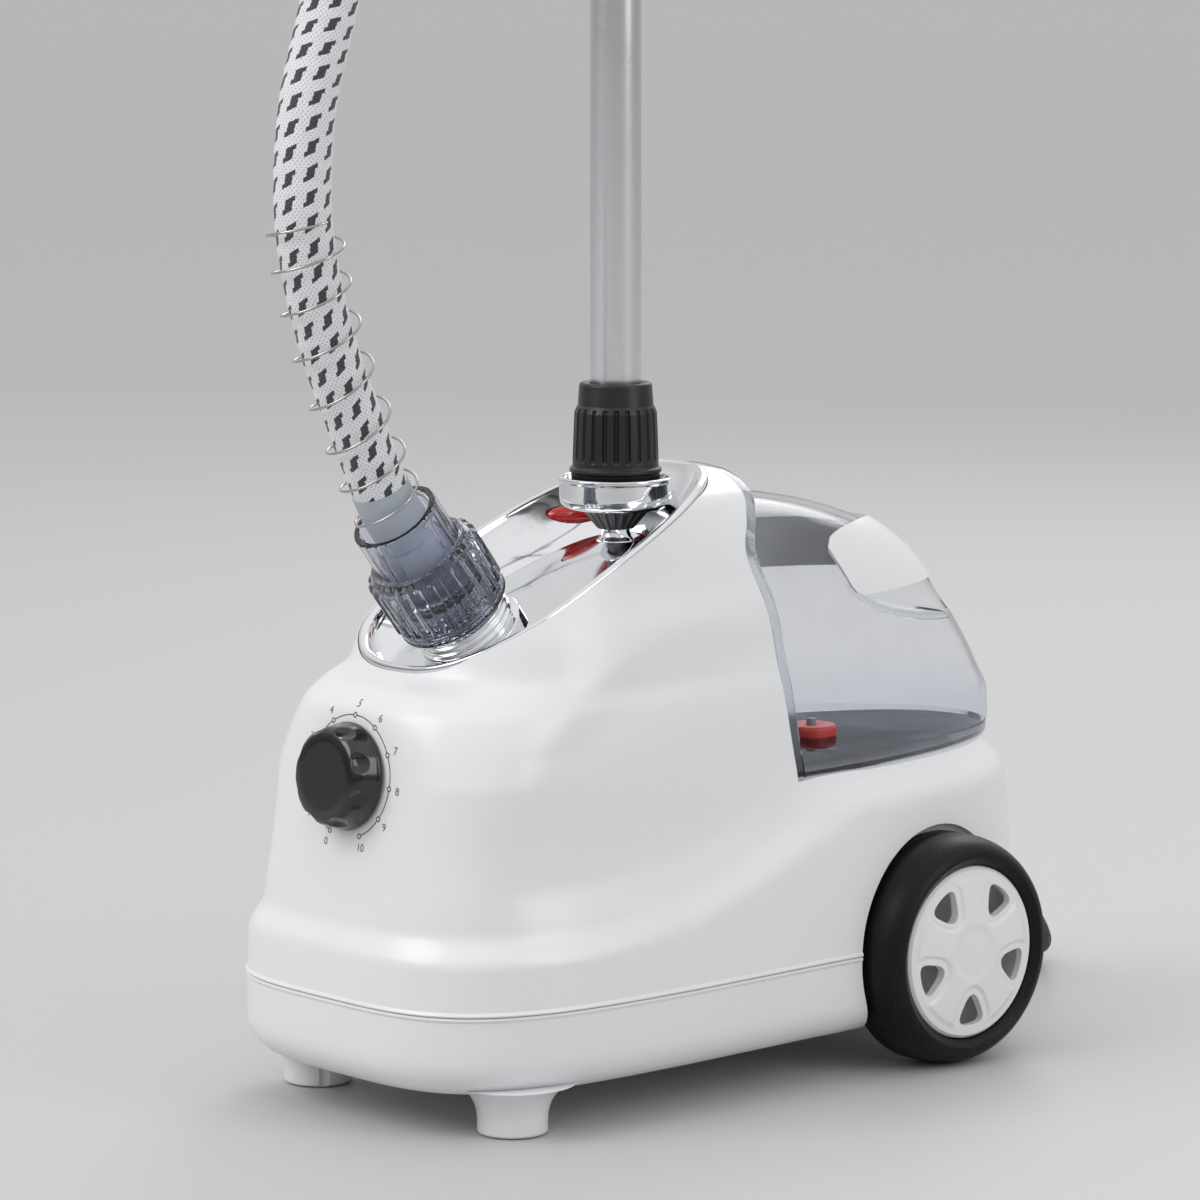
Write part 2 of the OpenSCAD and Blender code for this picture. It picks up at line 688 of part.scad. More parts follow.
// ---- Tubes along a route ----
function spline_at(p, k, u) = let (
    n = len(p) - 1, a = p[max(k - 1, 0)], b = p[k], c = p[min(k + 1, n)], d = p[min(k + 2, n)])
  b + 0.5*u*((c - a) + u*((2*a - 5*b + 4*c - d) + u*(3*b - a - 3*c + d)));
function spline(p, per) = concat(
  [for (k = [0:len(p) - 2]) for (i = [0:per - 1]) spline_at(p, k, i/per)], [p[len(p) - 1]]);
function tangent(p, k) = unit(p[min(k + 1, len(p) - 1)] - p[max(k - 1, 0)]);
function normals(p, k, start) = let (t = tangent(p, k), n = unit(start - t*(start*t)))
  k == len(p) - 1 ? [n] : concat([n], normals(p, k + 1, n));

module tube(p, r, sides, start = [1, 0, 0]) {
  n = normals(p, 0, start);
  skin([for (k = [0:len(p) - 1]) let (b = cross(tangent(p, k), n[k]))
    [for (i = [0:sides - 1]) p[k] + r*(cos(360*i/sides)*n[k] + sin(360*i/sides)*b)]]);
}

hose_start = [0, port_y, port_z] + (cuff_top + 0.1)*port_dir;
head_y = -85;
grip_z = upper_top - 220;
hose_route = [hose_start, [0, -183, 309], [0, -198, 341], [0, -217, 384], [0, -229, 425], [0, -233, 460], [0, -229, 505],
  [0, -215, 555], [0, -199, 630], [0, -183, 720], [0, -150, 890], [0, -118, 1050], [0, -95, 1140],
  [0, head_y, grip_z - 40], [0, head_y, grip_z - 15], [0, head_y, grip_z]];

module steam_hose() color("white") tube(spline(hose_route, 3), hose_r, 12);

// The bend spring winds round the first part of the hose
spring_wire = 0.6;
spring_path = spline(concat([hose_start - 16*port_dir], hose_route), 6);
spring_steps = 12;
spring_from = 8;
spring_to = 34;
function coil_point(u) = let (
    f = lerp(spring_from, spring_to, pow(u, 0.9)), k = floor(f), q = lerp(spring_path[k], spring_path[k + 1], f - k),
    t = tangent(spring_path, k), n = [1, 0, 0], b = cross(t, n), a = 360*spring_turns*u)
  q + (spring_r - spring_wire)*(cos(a)*n + sin(a)*b);
module bend_spring() {
  steps = spring_turns*spring_steps;
  color("silver") tube([for (i = [0:steps]) coil_point(i/steps)], spring_wire, 6, [0, 0, 1]);
}

// ---- Boiler and water path ----
boiler_y = -95*fy;
boiler_z = base_clear + wall + 20;
lid_z = boiler_z + boiler_h;
lid_h = 24;
module boiler_lower() {
  color("darkgray") translate([0, boiler_y, boiler_z]) difference() {
    union() {
      cylinder(r = boiler_r, h = boiler_h);
      translate([0, 0, boiler_h - 5]) cylinder(r = boiler_r + 6, h = 5);
      // legs, heater ring and its two terminals
      for (a = [45:90:315]) rotate([0, 0, a]) translate([boiler_r - 8, 0, -20]) cylinder(r = 4, h = 21);
      translate([0, 0, 8]) rotate_extrude() translate([boiler_r, 0]) circle(r = 4);
      for (x = [-9, 9]) translate([x, -boiler_r - 12, 8]) rotate([-90, 0, 0]) cylinder(r = 3, h = 16);
    }
    translate([0, 0, 5]) cylinder(r = boiler_r - 6, h = boiler_h);
    // feed inlet
    translate([feed_x, 0, feed_z - boiler_z]) rotate([-90, 0, 0]) cylinder(r = feed_r + run_gap, h = boiler_r);
  }
}

module boiler_lid() {
  color("darkgray") translate([0, boiler_y, lid_z + seat/10]) difference() {
    union() {
      cylinder(r = boiler_r + 6, h = 5);
      cylinder(r1 = boiler_r, r2 = boiler_r - 6, h = lid_h);
    }
    translate([0, 0, -1]) cylinder(r = boiler_r - 8, h = lid_h - 4);
    translate([0, riser_y - boiler_y, -1]) cylinder(r = pipe_r + run_gap, h = lid_h + 2);
  }
}

module thermostat() {
  color("silver") translate([14, boiler_y + 8, lid_z + lid_h + seat/3]) {
    cylinder(r = 8, h = 7);
    for (x = [-1, 1]) translate([x*5 - 0.4, -3, 6.9]) cube([0.8, 6, 8]);
  }
}

module thermal_fuse() {
  color("white") translate([-14, boiler_y + 8, lid_z + lid_h + seat/3 + 3]) rotate([0, 90, 30])
    cylinder(r = 3, h = 22, center = true);
}

pipe_r = 7;
riser_y = port_y + 30*sin(port_tilt);
riser_top = port_z - 30*cos(port_tilt);
module steam_pipe() {
  color("silver") difference() {
    union() {
      translate([0, riser_y, lid_z + 6]) cylinder(r = pipe_r, h = riser_top - lid_z - 6);
      translate([0, riser_y, riser_top]) sphere(r = pipe_r + 0.3);
      at_port() translate([0, 0, -30]) cylinder(r = pipe_r - 0.05, h = 24);
    }
    translate([0, riser_y, lid_z]) cylinder(r = pipe_r - 1.5, h = riser_top + 1.5 - lid_z);
    at_port() translate([0, 0, -32]) cylinder(r = pipe_r - 1.5, h = 32);
  }
}

module inlet_cup() {
  color("lightgray") translate([0, valve_y, inlet_z]) difference() {
    union() {
      cylinder(r = inlet_r, h = inlet_depth);
      translate([0, 0, inlet_depth - wall - 3]) cylinder(r = inlet_r + 4, h = 3 - seat/10);
    }
    translate([0, 0, 2]) difference() {
      cylinder(r = inlet_r - 2, h = inlet_depth);
      cylinder(r = 2, h = inlet_depth - 2 - neck_drop + 1);
    }
    translate([12, 0, -1]) cylinder(r = feed_r - 1.5, h = 4);
  }
}

feed_r = 5;
feed_x = 25;
feed_z = 80;
feed_path = [[12, valve_y, inlet_z - seat/3], [12, valve_y, feed_z + 12], [feed_x, valve_y - 45, feed_z],
  [feed_x, boiler_y + sqrt(pow(boiler_r, 2) - pow(feed_x + feed_r, 2)) - 3, feed_z]];
// Straight lengths with round elbows
module pipe_run(p, r) {
  for (k = [0:len(p) - 2]) let (d = p[k + 1] - p[k], l = norm(d))
    translate(p[k]) rotate([0, acos(d[2]/l), atan2(d[1], d[0])]) cylinder(r = r, h = l);
  for (k = [1:1:len(p) - 2]) translate(p[k]) sphere(r = r + 0.3, $fn = 20);
}

module feed_tube() {
  color("lightblue") resize([0, 0, 0]) pipe_run(feed_path, feed_r, $fn = 20);
}

// ---- Water tank: height, tail, half-width ----
tank_rows = [[157, 222, 84], [166, 224, 85], [176, 224, 84], [194, 215, 82], [214, 202, 78.5],
  [233, 187, 74], [255, 167, 66], [274, 138, 55], [282, 117, 47], [289, 91, 39], [295, 57, 25], [297, 40, 14]];
tank_n = 2.1;
collar_depth = 6.45;
function tank_ring(z, grow, zz) = let (w = col(tank_rows, z, 2), tail = min(col(tank_rows, z, 1), 224))
  [for (p = outline(w, w, -40, tail, 2.2, tank_n)) [fx*p[0] + grow*p[2], fy*p[1] + grow*p[3], fz*zz + grow*smooth((z - 215)/70)]];
tank_z = [157, 166, 176, 185, 194, 204, 214, 224, 233, 244, 255, 265, 274, 282, 289, 293, 295.5, 297];
module tank_loft(grow, z0) {
  skin(concat([tank_ring(157, grow, z0/fz)], [for (z = tank_z) if (fz*z > z0 + 1) tank_ring(z, grow, z)]));
}

flange_h = 8.5;
tank_bottom = shelf_z + seat;
// The scoop in the tank's tail that fingers reach into, under and behind the handle's lower edge
module finger_pocket(grow) {
  translate([0, 188.3*fy, 236.2*fz]) resize([92*fx + 2*grow, 56*fy + 2*grow, 40*fz + 2*grow])
    sphere(r = 20, $fn = 26);
}

module water_tank() {
  color([0.8, 0.84, 0.92, 0.35]) resize([0, 0, 0]) difference() {
    union() {
      intersection() {
        tank_loft(-0.62, tank_bottom);
        behind_seam(seat, tank_bottom);
      }
      // collar that carries the housing's surface on
      intersection() {
        body_loft();
        difference() {
          behind_seam(seat, tank_bottom + 1.1);
          behind_seam(seat + collar_depth, 0);
        }
      }
      // foot flange
      intersection() {
        tank_loft(0, tank_bottom);
        behind_seam(seat, tank_bottom);
        translate([-body_w, -body_l, 0]) cube([2*body_w, 2*body_l, tank_bottom + flange_h]);
      }
    }
    difference() {
      intersection() {
        tank_loft(-wall - 0.62, tank_bottom + wall);
        behind_seam(seat + wall, tank_bottom + wall);
      }
      finger_pocket(wall);
    }
    finger_pocket(0);
    translate([0, valve_y, tank_bottom - 5]) cylinder(r = valve_neck_r + seat, h = 20, $fn = 48);
  }
}

// White band round the tank's tail: its front edge is a curve in plan, its foot is level
handle_foot = 243;
module handle_plan() {
  half = concat([for (x = [0:6:48]) [x, 140 - 0.025*x*x]], [[53, 71], [57, 66], [100, 60], [100, 240], [0, 240]]);
  all = concat([for (p = half) [fx*p[0], fy*p[1]]],
    [for (k = [len(half) - 2:-1:1]) [-fx*half[k][0], fy*half[k][1]]]);
  polygon(all);
}

module tank_handle() {
  side = [[60, 310], [66, 268], [69, 261], [75, 248], [78, 244.6], [84, handle_foot], [230, handle_foot],
    [230, 310]];
  color("white") resize([0, 0, 0]) intersection() {
    difference() {
      tank_loft(handle_t - 0.5, tank_bottom);
      tank_loft(seat - 0.5, tank_bottom);
    }
    translate([0, 0, 230*fz]) linear_extrude(height = 80*fz) handle_plan();
    across([for (p = side) [fy*p[0], fz*p[1]]]);
  }
}

valve_top = tank_bottom + wall + 6;
module tank_valve_cap() {
  z0 = shelf_z - neck_drop;
  floor_top = tank_bottom + wall;
  color("tomato") translate([0, valve_y, 0]) difference() {
    union() {
      translate([0, 0, z0]) cylinder(r = valve_neck_r, h = floor_top - z0 + 1);
      translate([0, 0, floor_top + run_gap]) cylinder(r = valve_r, h = valve_top - floor_top);
    }
    translate([0, 0, z0 - 1]) cylinder(r = valve_neck_r - 2, h = valve_top - z0 - 2);
    translate([0, 0, z0]) cylinder(r = plunger_r + run_gap, h = 60);
    // water windows in the cap
    for (a = [0:60:300]) rotate([0, 0, a]) translate([valve_neck_r - 3, -2, floor_top + 2])
      cube([12, 4, 2.5]);
  }
}

plunger_r = 2.5;
plunger_z = shelf_z - neck_drop + 1 + seat;
spring_top = valve_top - 3 - seat;
module valve_plunger() {
  color("white") translate([0, valve_y, plunger_z]) {
    cylinder(r = plunger_r, h = valve_top - plunger_z + 3);
    cylinder(r = valve_neck_r - 3, h = 2.5);
  }
}

module valve_spring() {
  z0 = plunger_z + 2.5 + seat;
  turns = 5;
  steps = 40;
  color("silver") tube([for (i = [0:steps]) let (a = 360*turns*i/steps)
    [4.2*cos(a), valve_y + 4.2*sin(a), lerp(z0 + 0.5, spring_top - 0.5, i/steps)]], 0.5, 6, [0, 0, 1]);
}

// ---- Wheels ----
axle_end = wheel_out - 10;
module at_axle() translate([0, wheel_y, wheel_z]) rotate([0, 90, 0]) children();
module axle() {
  color("silver") at_axle() cylinder(r = axle_r, h = 2*axle_end, center = true);
}

bracket_x = 60*fx;
module axle_brackets() {
  floor_top = base_clear + wall;
  color("gray") difference() {
    for (side = [-1, 1]) translate([side*bracket_x - 5, wheel_y - 16, floor_top])
      cube([10, 32, wheel_z + 14 - floor_top]);
    at_axle() cylinder(r = axle_r + run_gap, h = 4*bracket_x, center = true);
  }
}

module axle_clips() {
  color("gray") for (side = [-1, 1]) at_axle() translate([0, 0, side*(axle_end - 2.5) - 0.6]) difference() {
    cylinder(r = axle_r + 4, h = 1.2);
    translate([0, 0, -1]) cylinder(r = axle_r + run_gap/2, h = 4);
  }
}

// A wheel's own frame: outwards along +Z, 0 at the tyre's inner face
module at_wheel(side) {
  translate([side*wheel_in, wheel_y, wheel_z]) rotate([0, 90*side, 0]) rotate([0, 0, 90 - 90*side]) children();
}
rim_seat = cap_r + 0.6;
module wheel_hub(side) {
  hub_l = tyre_w - 14;
  color("white") at_wheel(side) rotate_extrude() polygon([
    [axle_r + run_gap, 3], [12, 3], [12, 12], [rim_seat - 3, 14], [rim_seat - 3, 4], [rim_seat - 0.05, 4],
    [rim_seat - 0.05, tyre_w - 7], [rim_seat - 3, tyre_w - 7], [rim_seat - 3, 17], [12, 15],
    [12, hub_l - 0.5], [axle_r + run_gap, hub_l - 0.5]]);
}
module tyre(side) {
  t = tyre_r - rim_seat;
  color("#1c1c1e") at_wheel(side) rotate_extrude() polygon(concat(
    [[rim_seat, 3]],
    [for (a = [0:15:90]) [tyre_r - 5 + 5*sin(a), 5*(1 - cos(a))]],
    [for (a = [0:15:90]) [tyre_r - 0.7*t*(1 - cos(a)), tyre_w - 20 + 19.4*sin(a)]],
    [[rim_seat + 2, tyre_w - 2.4], [rim_seat, tyre_w - 5]]));
}
module hub_cap(side) {
  windows = 5;
  z0 = tyre_w - 6;
  color("white") at_wheel(side) difference() {
    rotate_extrude() polygon([[0, z0 - 0.5], [cap_r - 9, z0 - 0.5], [cap_r - 1, z0 - 0.9], [cap_r, z0],
      [cap_r, z0 + 1.6], [cap_r - 1.4, z0 + 3], [cap_r - 5, z0 + 3.2], [14, z0 + 5], [8, z0 + 5.4], [0, z0 + 5.5]]);
    for (k = [0:windows - 1]) rotate([0, 0, 360*k/windows]) translate([0, 0, z0 - 2])
      linear_extrude(height = 12) polygon([[22, -3.2], [24, -5.2], [33, -8.6], [36.5, -7.6], [37.6, -3],
        [37.6, 3], [36.5, 7.6], [33, 8.6], [24, 5.2], [22, 3.2]]);
  }
}
module wheel_hub_left() wheel_hub(-1);
module wheel_hub_right() wheel_hub(1);
module tyre_left() tyre(-1);
module tyre_right() tyre(1);
module hub_cap_left() hub_cap(-1);
module hub_cap_right() hub_cap(1);

// ---- Mains lead ----
gland_neck_r = 8;
module mains_gland() {
  color("#1c1c1e") translate([0, tail_y, cord_z]) rotate([-90, 0, 0]) rotate_extrude() polygon([
    [0, -8], [gland_neck_r + 3, -8], [gland_neck_r + 3, -4.5], [gland_neck_r, -4.3], [gland_neck_r, 1.5],
    [gland_neck_r + 2, 1.8], [gland_neck_r + 2, 4], [cord_r + 2.6, 6], [cord_r + 0.6, gland_l], [0, gland_l]]);
}

module power_cord() {
  color("#1c1c1e") {
    tube(spline(cord_route, 3), cord_r, 8, [1, 0, 0]);
    tube(spline(tail_route, 3), cord_r, 8, [0, 0, 1]);
  }
}

module cord_coil() {
  half = coil_turns_wide*cord_r;
  color("#1c1c1e") translate([coil_pos[0], coil_pos[1], 0]) rotate_extrude()
    translate([coil_mid_r - half, 0.05]) square([2*half, 2*coil_turns_high*cord_r]);
}

// Round two-pin plug lying on its side
module power_plug() {
  p = tail_route[len(tail_route) - 1];
  color("#1c1c1e") translate([p[0], p[1], plug_r]) rotate([0, 90, plug_turn + 180]) {
    rotate_extrude() polygon([[0, 0.05], [cord_r + 1, 0.05], [cord_r + 2.4, 14], [plug_r - 6, 20],
      [plug_r - 1, 26], [plug_r, 28], [plug_r, 40], [plug_r - 1.5, 42], [0, 42]]);
    for (y = [-9.5, 9.5]) translate([0, y, 41.9]) cylinder(r = 2.4, h = 19);
  }
}

// ---- Steam head in its cradle ----
neck_z = grip_z + 122;
fork_r = 15.5;
cradle_z = neck_z - 6;
cradle_t = 10;
module head_cradle() {
  color("#202124") difference() {
    union() {
      translate([0, pole_y, cradle_z - 8]) cylinder(r = upper_r + 6, h = cradle_t + 16);
      translate([-9, head_y, cradle_z - 2]) cube([18, pole_y - head_y, cradle_t + 2 - seat]);
      translate([0, head_y, cradle_z - 2]) cylinder(r = fork_r + 7, h = cradle_t + 2 - seat);
    }
    translate([0, pole_y, cradle_z - 20]) cylinder(r = upper_r + run_gap, h = 60);
    translate([0, head_y, cradle_z - 20]) cylinder(r = fork_r + 0.5, h = 60);
    translate([-fork_r + 2.5, head_y - 60, cradle_z - 20]) cube([2*fork_r - 5, 60, 60]);
  }
}

function head_ring(z, w, d, y0) = [for (i = [0:35]) let (t = 10*i, c = spow(cos(t), 0.8), s = spow(sin(t), 0.8))
  [w*c, head_y + y0 + d*s, z]];
head_w = plate_w/2 + 8;
head_z = cradle_z + cradle_t;
head_face = head_y - 27;
function head_rings(g, up) = [
  head_ring(head_z + up, fork_r + 3 - g, fork_r + 3 - g, 0),
  head_ring(head_z + 12, 27 - g, 22 - g, -1),
  head_ring(head_z + 28, 0.66*head_w - g, 27 - g, -3),
  head_ring(head_z + 46, 0.93*head_w - g, 31 - g, -5),
  head_ring(head_z + 62, head_w - g, 32 - g, -6),
  head_ring(head_z + 76 - up, 0.99*head_w - g, 29 - g, -6),
  head_ring(head_z + 84 - up, 0.94*head_w - g, 24 - g, -5),
  head_ring(head_z + 88 - up, 0.8*head_w - g, 14 - g, -4)];
trigger_h = 46;
trigger_z = grip_z + 58;
trigger_w = 14;
module steam_head() {
  color("white") resize([0, 0, 0]) difference() {
    union() {
      difference() {
        skin(head_rings(0, 0));
        skin(head_rings(wall, wall));
      }
      translate([0, head_y, grip_z + 0.1]) rotate_extrude($fn = 40) polygon([[0, 0], [17, 0], [18.5, 4], [19.5, 30],
        [19, 60], [18, 90], [fork_r, 108], [fork_r, head_z - grip_z + 2], [0, head_z - grip_z + 2]]);
      // plate frame
      intersection() {
        skin(head_rings(0, 0));
        translate([-body_w, head_face + 0.1, head_z + 18]) cube([2*body_w, 3, 64]);
      }
    }
    translate([-body_w, head_face - 60, head_z + 8]) cube([2*body_w, 60, 100]);
    // steam way up the grip
    translate([0, head_y + 3, grip_z - 1]) cylinder(r = 7, h = head_z - grip_z + 10, $fn = 24);
    // trigger pocket
    translate([-trigger_w/2 - seat, head_y - 30, trigger_z - seat])
      cube([trigger_w + 2*seat, 20, trigger_h + 2*seat]);
  }
}

module steam_plate() {
  h = 44;
  z0 = head_z + 30;
  color("silver") translate([0, head_face - seat/3, 0]) rotate([90, 0, 0]) linear_extrude(height = 2) difference() {
    union() {
      translate([-plate_w/2 + 10, z0]) square([plate_w - 20, h]);
      translate([-plate_w/2, z0 + 10]) square([plate_w, h - 20]);
      for (x = [-1, 1]) for (z = [10, h - 10]) translate([x*(plate_w/2 - 10), z0 + z]) circle(r = 10);
    }
    for (x = [-36:12:36]) translate([x*plate_w/104, z0 + h - 12]) circle(r = 2);
    for (x = [-30:12:30]) translate([x*plate_w/104, z0 + 14]) circle(r = 2);
  }
}

module steam_trigger() {
  color("dimgray") translate([0, head_y, trigger_z]) difference() {
    union() {
      translate([-trigger_w/2, -26, 4]) cube([trigger_w, 9.5, trigger_h - 8]);
      translate([-trigger_w/2, -23, 0]) cube([trigger_w, 8.5, trigger_h]);
    }
    translate([-trigger_w, -27 - 60, trigger_h/2]) rotate([0, 90, 0]) cylinder(r = 62.5, h = 2*trigger_w);
  }
}

// ---- Hanger ----
hub_z = upper_top - 26;
arm_z = upper_top + 12;
arm_pivot = 20;
pin_r = 2.5;
module hanger_hub() {
  color("#202124") difference() {
    union() {
      translate([0, pole_y, hub_z]) cylinder(r = upper_r + 5, h = 40);
      translate([-arm_pivot - 8, pole_y - 12, arm_z - 10]) cube([2*arm_pivot + 16, 24, 20]);
      translate([0, pole_y, arm_z + 10]) sphere(r = 10);
    }
    translate([0, pole_y, hub_z - 1]) cylinder(r = upper_r + run_gap, h = 27);
    // slots for the arms, open outwards and upwards
    for (s = [-1, 1]) {
      translate([s*(arm_pivot + 8) - 17, pole_y - 5, arm_z - 6]) cube([34, 10, 40]);
      translate([s*arm_pivot, pole_y + 20, arm_z]) rotate([90, 0, 0]) cylinder(r = pin_r + run_gap, h = 40);
    }
  }
}

module hanger_arm(side) {
  w = 9;
  color("#202124") translate([side*arm_pivot, pole_y, arm_z]) mirror([side < 0 ? 1 : 0, 0, 0]) difference() {
    union() {
      rotate([90, 0, 0]) cylinder(r = 5.4, h = w, center = true);
      translate([0, -w/2, -5.4]) cube([arm_l - 8, w, 10.8]);
      translate([arm_l - 8, 0, 0]) rotate([90, 0, 0]) cylinder(r = 5.4, h = w, center = true);
      translate([arm_l - 12, -w/2, 0]) cube([9, w, 16]);
    }
    rotate([90, 0, 0]) cylinder(r = pin_r + run_gap, h = 3*w, center = true);
    for (x = [40:24:arm_l - 30]) translate([x, 0, 7.6]) rotate([90, 0, 0]) cylinder(r = 5, h = 3*w, center = true);
  }
}
module hanger_arm_left() hanger_arm(-1);
module hanger_arm_right() hanger_arm(1);

module hanger_pins() {
  color("silver") for (s = [-1, 1]) translate([s*arm_pivot, pole_y, arm_z]) rotate([90, 0, 0]) {
    cylinder(r = pin_r, h = 25, center = true);
    for (e = [-1, 1]) translate([0, 0, e*13.3 - 0.6]) cylinder(r = pin_r + 1.5, h = 1.2);
  }
}

base_pan();
foot_pads();
upper_housing();
dish();
lamp_lens();
pilot_lamp();
control_knob();
switch_shaft();
rotary_switch();
base_screws();
pole_cup();
socket_cone();
pole_collet();
pole_lock_nut();
pole_support();
pole_lower();
pole_upper();
pole_clamp();
clamp_lever();
clamp_pin();
steam_outlet();
hose_nut();
hose_seal();
hose_collar();
hose_cuff();
bend_spring();
steam_hose();
boiler_lower();
boiler_lid();
thermostat();
thermal_fuse();
steam_pipe();
inlet_cup();
feed_tube();
water_tank();
tank_handle();
tank_valve_cap();
valve_plunger();
valve_spring();
axle();
axle_brackets();
axle_clips();
wheel_hub_left();
wheel_hub_right();
tyre_left();
tyre_right();
hub_cap_left();
hub_cap_right();
mains_gland();
power_cord();
cord_coil();
power_plug();
head_cradle();
steam_head();
steam_plate();
steam_trigger();
hanger_hub();
hanger_arm_left();
hanger_arm_right();
hanger_pins();
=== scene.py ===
# Upright garment steamer on two wheels: base with boiler and water tank, telescopic pole, hose and head.
# Sizes below are in millimetres unless a name says otherwise; the frame is in metres.
import math

import bmesh
import bpy
import numpy as np
from mathutils import Matrix, Vector
from mathutils.bvhtree import BVHTree


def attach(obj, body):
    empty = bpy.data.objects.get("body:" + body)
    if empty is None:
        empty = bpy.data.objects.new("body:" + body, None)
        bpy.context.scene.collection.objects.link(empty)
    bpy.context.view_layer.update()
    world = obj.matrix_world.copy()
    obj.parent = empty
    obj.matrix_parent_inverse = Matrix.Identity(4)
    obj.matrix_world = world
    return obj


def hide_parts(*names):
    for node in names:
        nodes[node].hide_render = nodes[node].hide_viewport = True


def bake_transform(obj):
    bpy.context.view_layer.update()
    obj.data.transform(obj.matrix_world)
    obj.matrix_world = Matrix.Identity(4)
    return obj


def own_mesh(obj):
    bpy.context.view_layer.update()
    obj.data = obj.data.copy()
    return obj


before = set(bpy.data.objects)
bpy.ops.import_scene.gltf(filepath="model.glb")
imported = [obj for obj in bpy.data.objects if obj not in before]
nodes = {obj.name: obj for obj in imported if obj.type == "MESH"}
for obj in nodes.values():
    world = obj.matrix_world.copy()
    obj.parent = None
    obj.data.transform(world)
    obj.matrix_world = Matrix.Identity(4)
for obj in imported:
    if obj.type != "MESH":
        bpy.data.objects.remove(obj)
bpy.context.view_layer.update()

scene = bpy.context.scene
MM = 0.001


def linked(name, data):
    """A new object in the scene."""
    obj = bpy.data.objects.new(name, data)
    scene.collection.objects.link(obj)
    return obj


# ---- Camera ----
# A long lens from the front right, a little above the base, looking slightly down.
lens = bpy.data.cameras.new("camera")
lens.lens, lens.sensor_width, lens.shift_y = 165.6, 36.0, -0.0017
camera = linked("camera", lens)
camera.location = (2.0853, -1.8986, 0.6335)
camera.rotation_euler = (math.radians(90 - 7.9), 0, math.radians(48.3))
scene.camera = camera
scene.view_settings.view_transform = "Standard"


# ---- Studio ----
# A pale floor, a soft dome that is bright above, dark at the horizon and lit low down at the back, and three
# large soft boxes. Wires let the shader sums below be written as plain arithmetic.
class Wire:
    """A node's output in a sum: each operator adds a maths node to its tree."""
    def __init__(self, socket):
        self.socket, self.tree = socket, socket.id_data

    def by(self, how, b=0.0, c=0.0, clamp=False):
        return tap(self.tree, "ShaderNodeMath", [(0, self), (1, b), (2, c)], operation=how, use_clamp=clamp)

    def __add__(self, other):
        return self.by("ADD", other)

    def __sub__(self, other):
        return self.by("SUBTRACT", other)

    def __mul__(self, other):
        return self.by("MULTIPLY", other)

    def __truediv__(self, other):
        return self.by("DIVIDE", other)

    def __abs__(self):
        return self.by("ABSOLUTE")

    def __rsub__(self, number):
        return tap(self.tree, "ShaderNodeMath", [(0, number), (1, self)], operation="SUBTRACT")

    def __rtruediv__(self, number):
        return tap(self.tree, "ShaderNodeMath", [(0, number), (1, self)], operation="DIVIDE")


def feed(value, socket):
    """Gives an input a wire, a number or a colour (r, g, b)."""
    if isinstance(value, Wire):
        socket.id_data.links.new(value.socket, socket)
    else:
        socket.default_value = (*value, 1) if socket.type == "RGBA" else value


def put(tree, kind, links=(), **values):
    """A new node with its attributes set; links are (input, wire or value)."""
    node = tree.nodes.new(kind)
    for key, value in values.items():
        setattr(node, key, value)
    for key, value in links:
        feed(value, node.inputs[key])
    return node


def tap(tree, kind, links=(), out=0, **values):
    """One output of a new node."""
    return Wire(put(tree, kind, links, **values).outputs[out])


def split(vector):
    """The x, y and z of a vector."""
    return [Wire(one) for one in put(vector.tree, "ShaderNodeSeparateXYZ", [(0, vector)]).outputs]


def steps_of(value, low, high, to_low=0.0, to_high=1.0, soft=True):
    """The value from low..high mapped to to_low..to_high, and held at the ends."""
    return tap(value.tree, "ShaderNodeMapRange",
                [("Value", value), ("From Min", low), ("From Max", high), ("To Min", to_low), ("To Max", to_high)],
                interpolation_type="SMOOTHSTEP" if soft else "LINEAR")


def blended(share, first, second):
    """Two colours mixed by a share."""
    return tap(share.tree, "ShaderNodeMix", [(0, share), (6, first), (7, second)], out=2, data_type="RGBA")


def local(tree):
    """Where a point lies on its own piece."""
    return tap(tree, "ShaderNodeTexCoord", out="Object")


def noise(place, scale, detail, **more):
    return tap(place.tree, "ShaderNodeTexNoise",
                [("Vector", place), ("Scale", scale), ("Detail", detail), *more.items()])


def bump(height, strength, distance):
    return tap(height.tree, "ShaderNodeBump",
                [("Strength", strength), ("Distance", distance), ("Height", height)])


def group_with(name, inputs, outputs):
    """A new node group: its tree, its inputs as wires and its result node."""
    tree = bpy.data.node_groups.new(name, "ShaderNodeTree")
    for label, value in inputs:
        tree.interface.new_socket(label, in_out="INPUT", socket_type="NodeSocketFloat").default_value = value
    for label in outputs:
        tree.interface.new_socket(label, in_out="OUTPUT", socket_type="NodeSocketFloat")
    given = tree.nodes.new("NodeGroupInput").outputs
    return tree, [Wire(given[k]) for k in range(len(inputs))], tree.nodes.new("NodeGroupOutput")


def outcome(name):
    """A new material, its tree and its main shader."""
    made = bpy.data.materials.new(name)
    made.use_nodes = True
    return made, made.node_tree, made.node_tree.nodes["Principled BSDF"]


def plug_in(shader, **sockets):
    """Feeds a shader's inputs; a space in an input's name is written as _."""
    for key, value in sockets.items():
        feed(value, shader.inputs[key.replace("_", " ")])


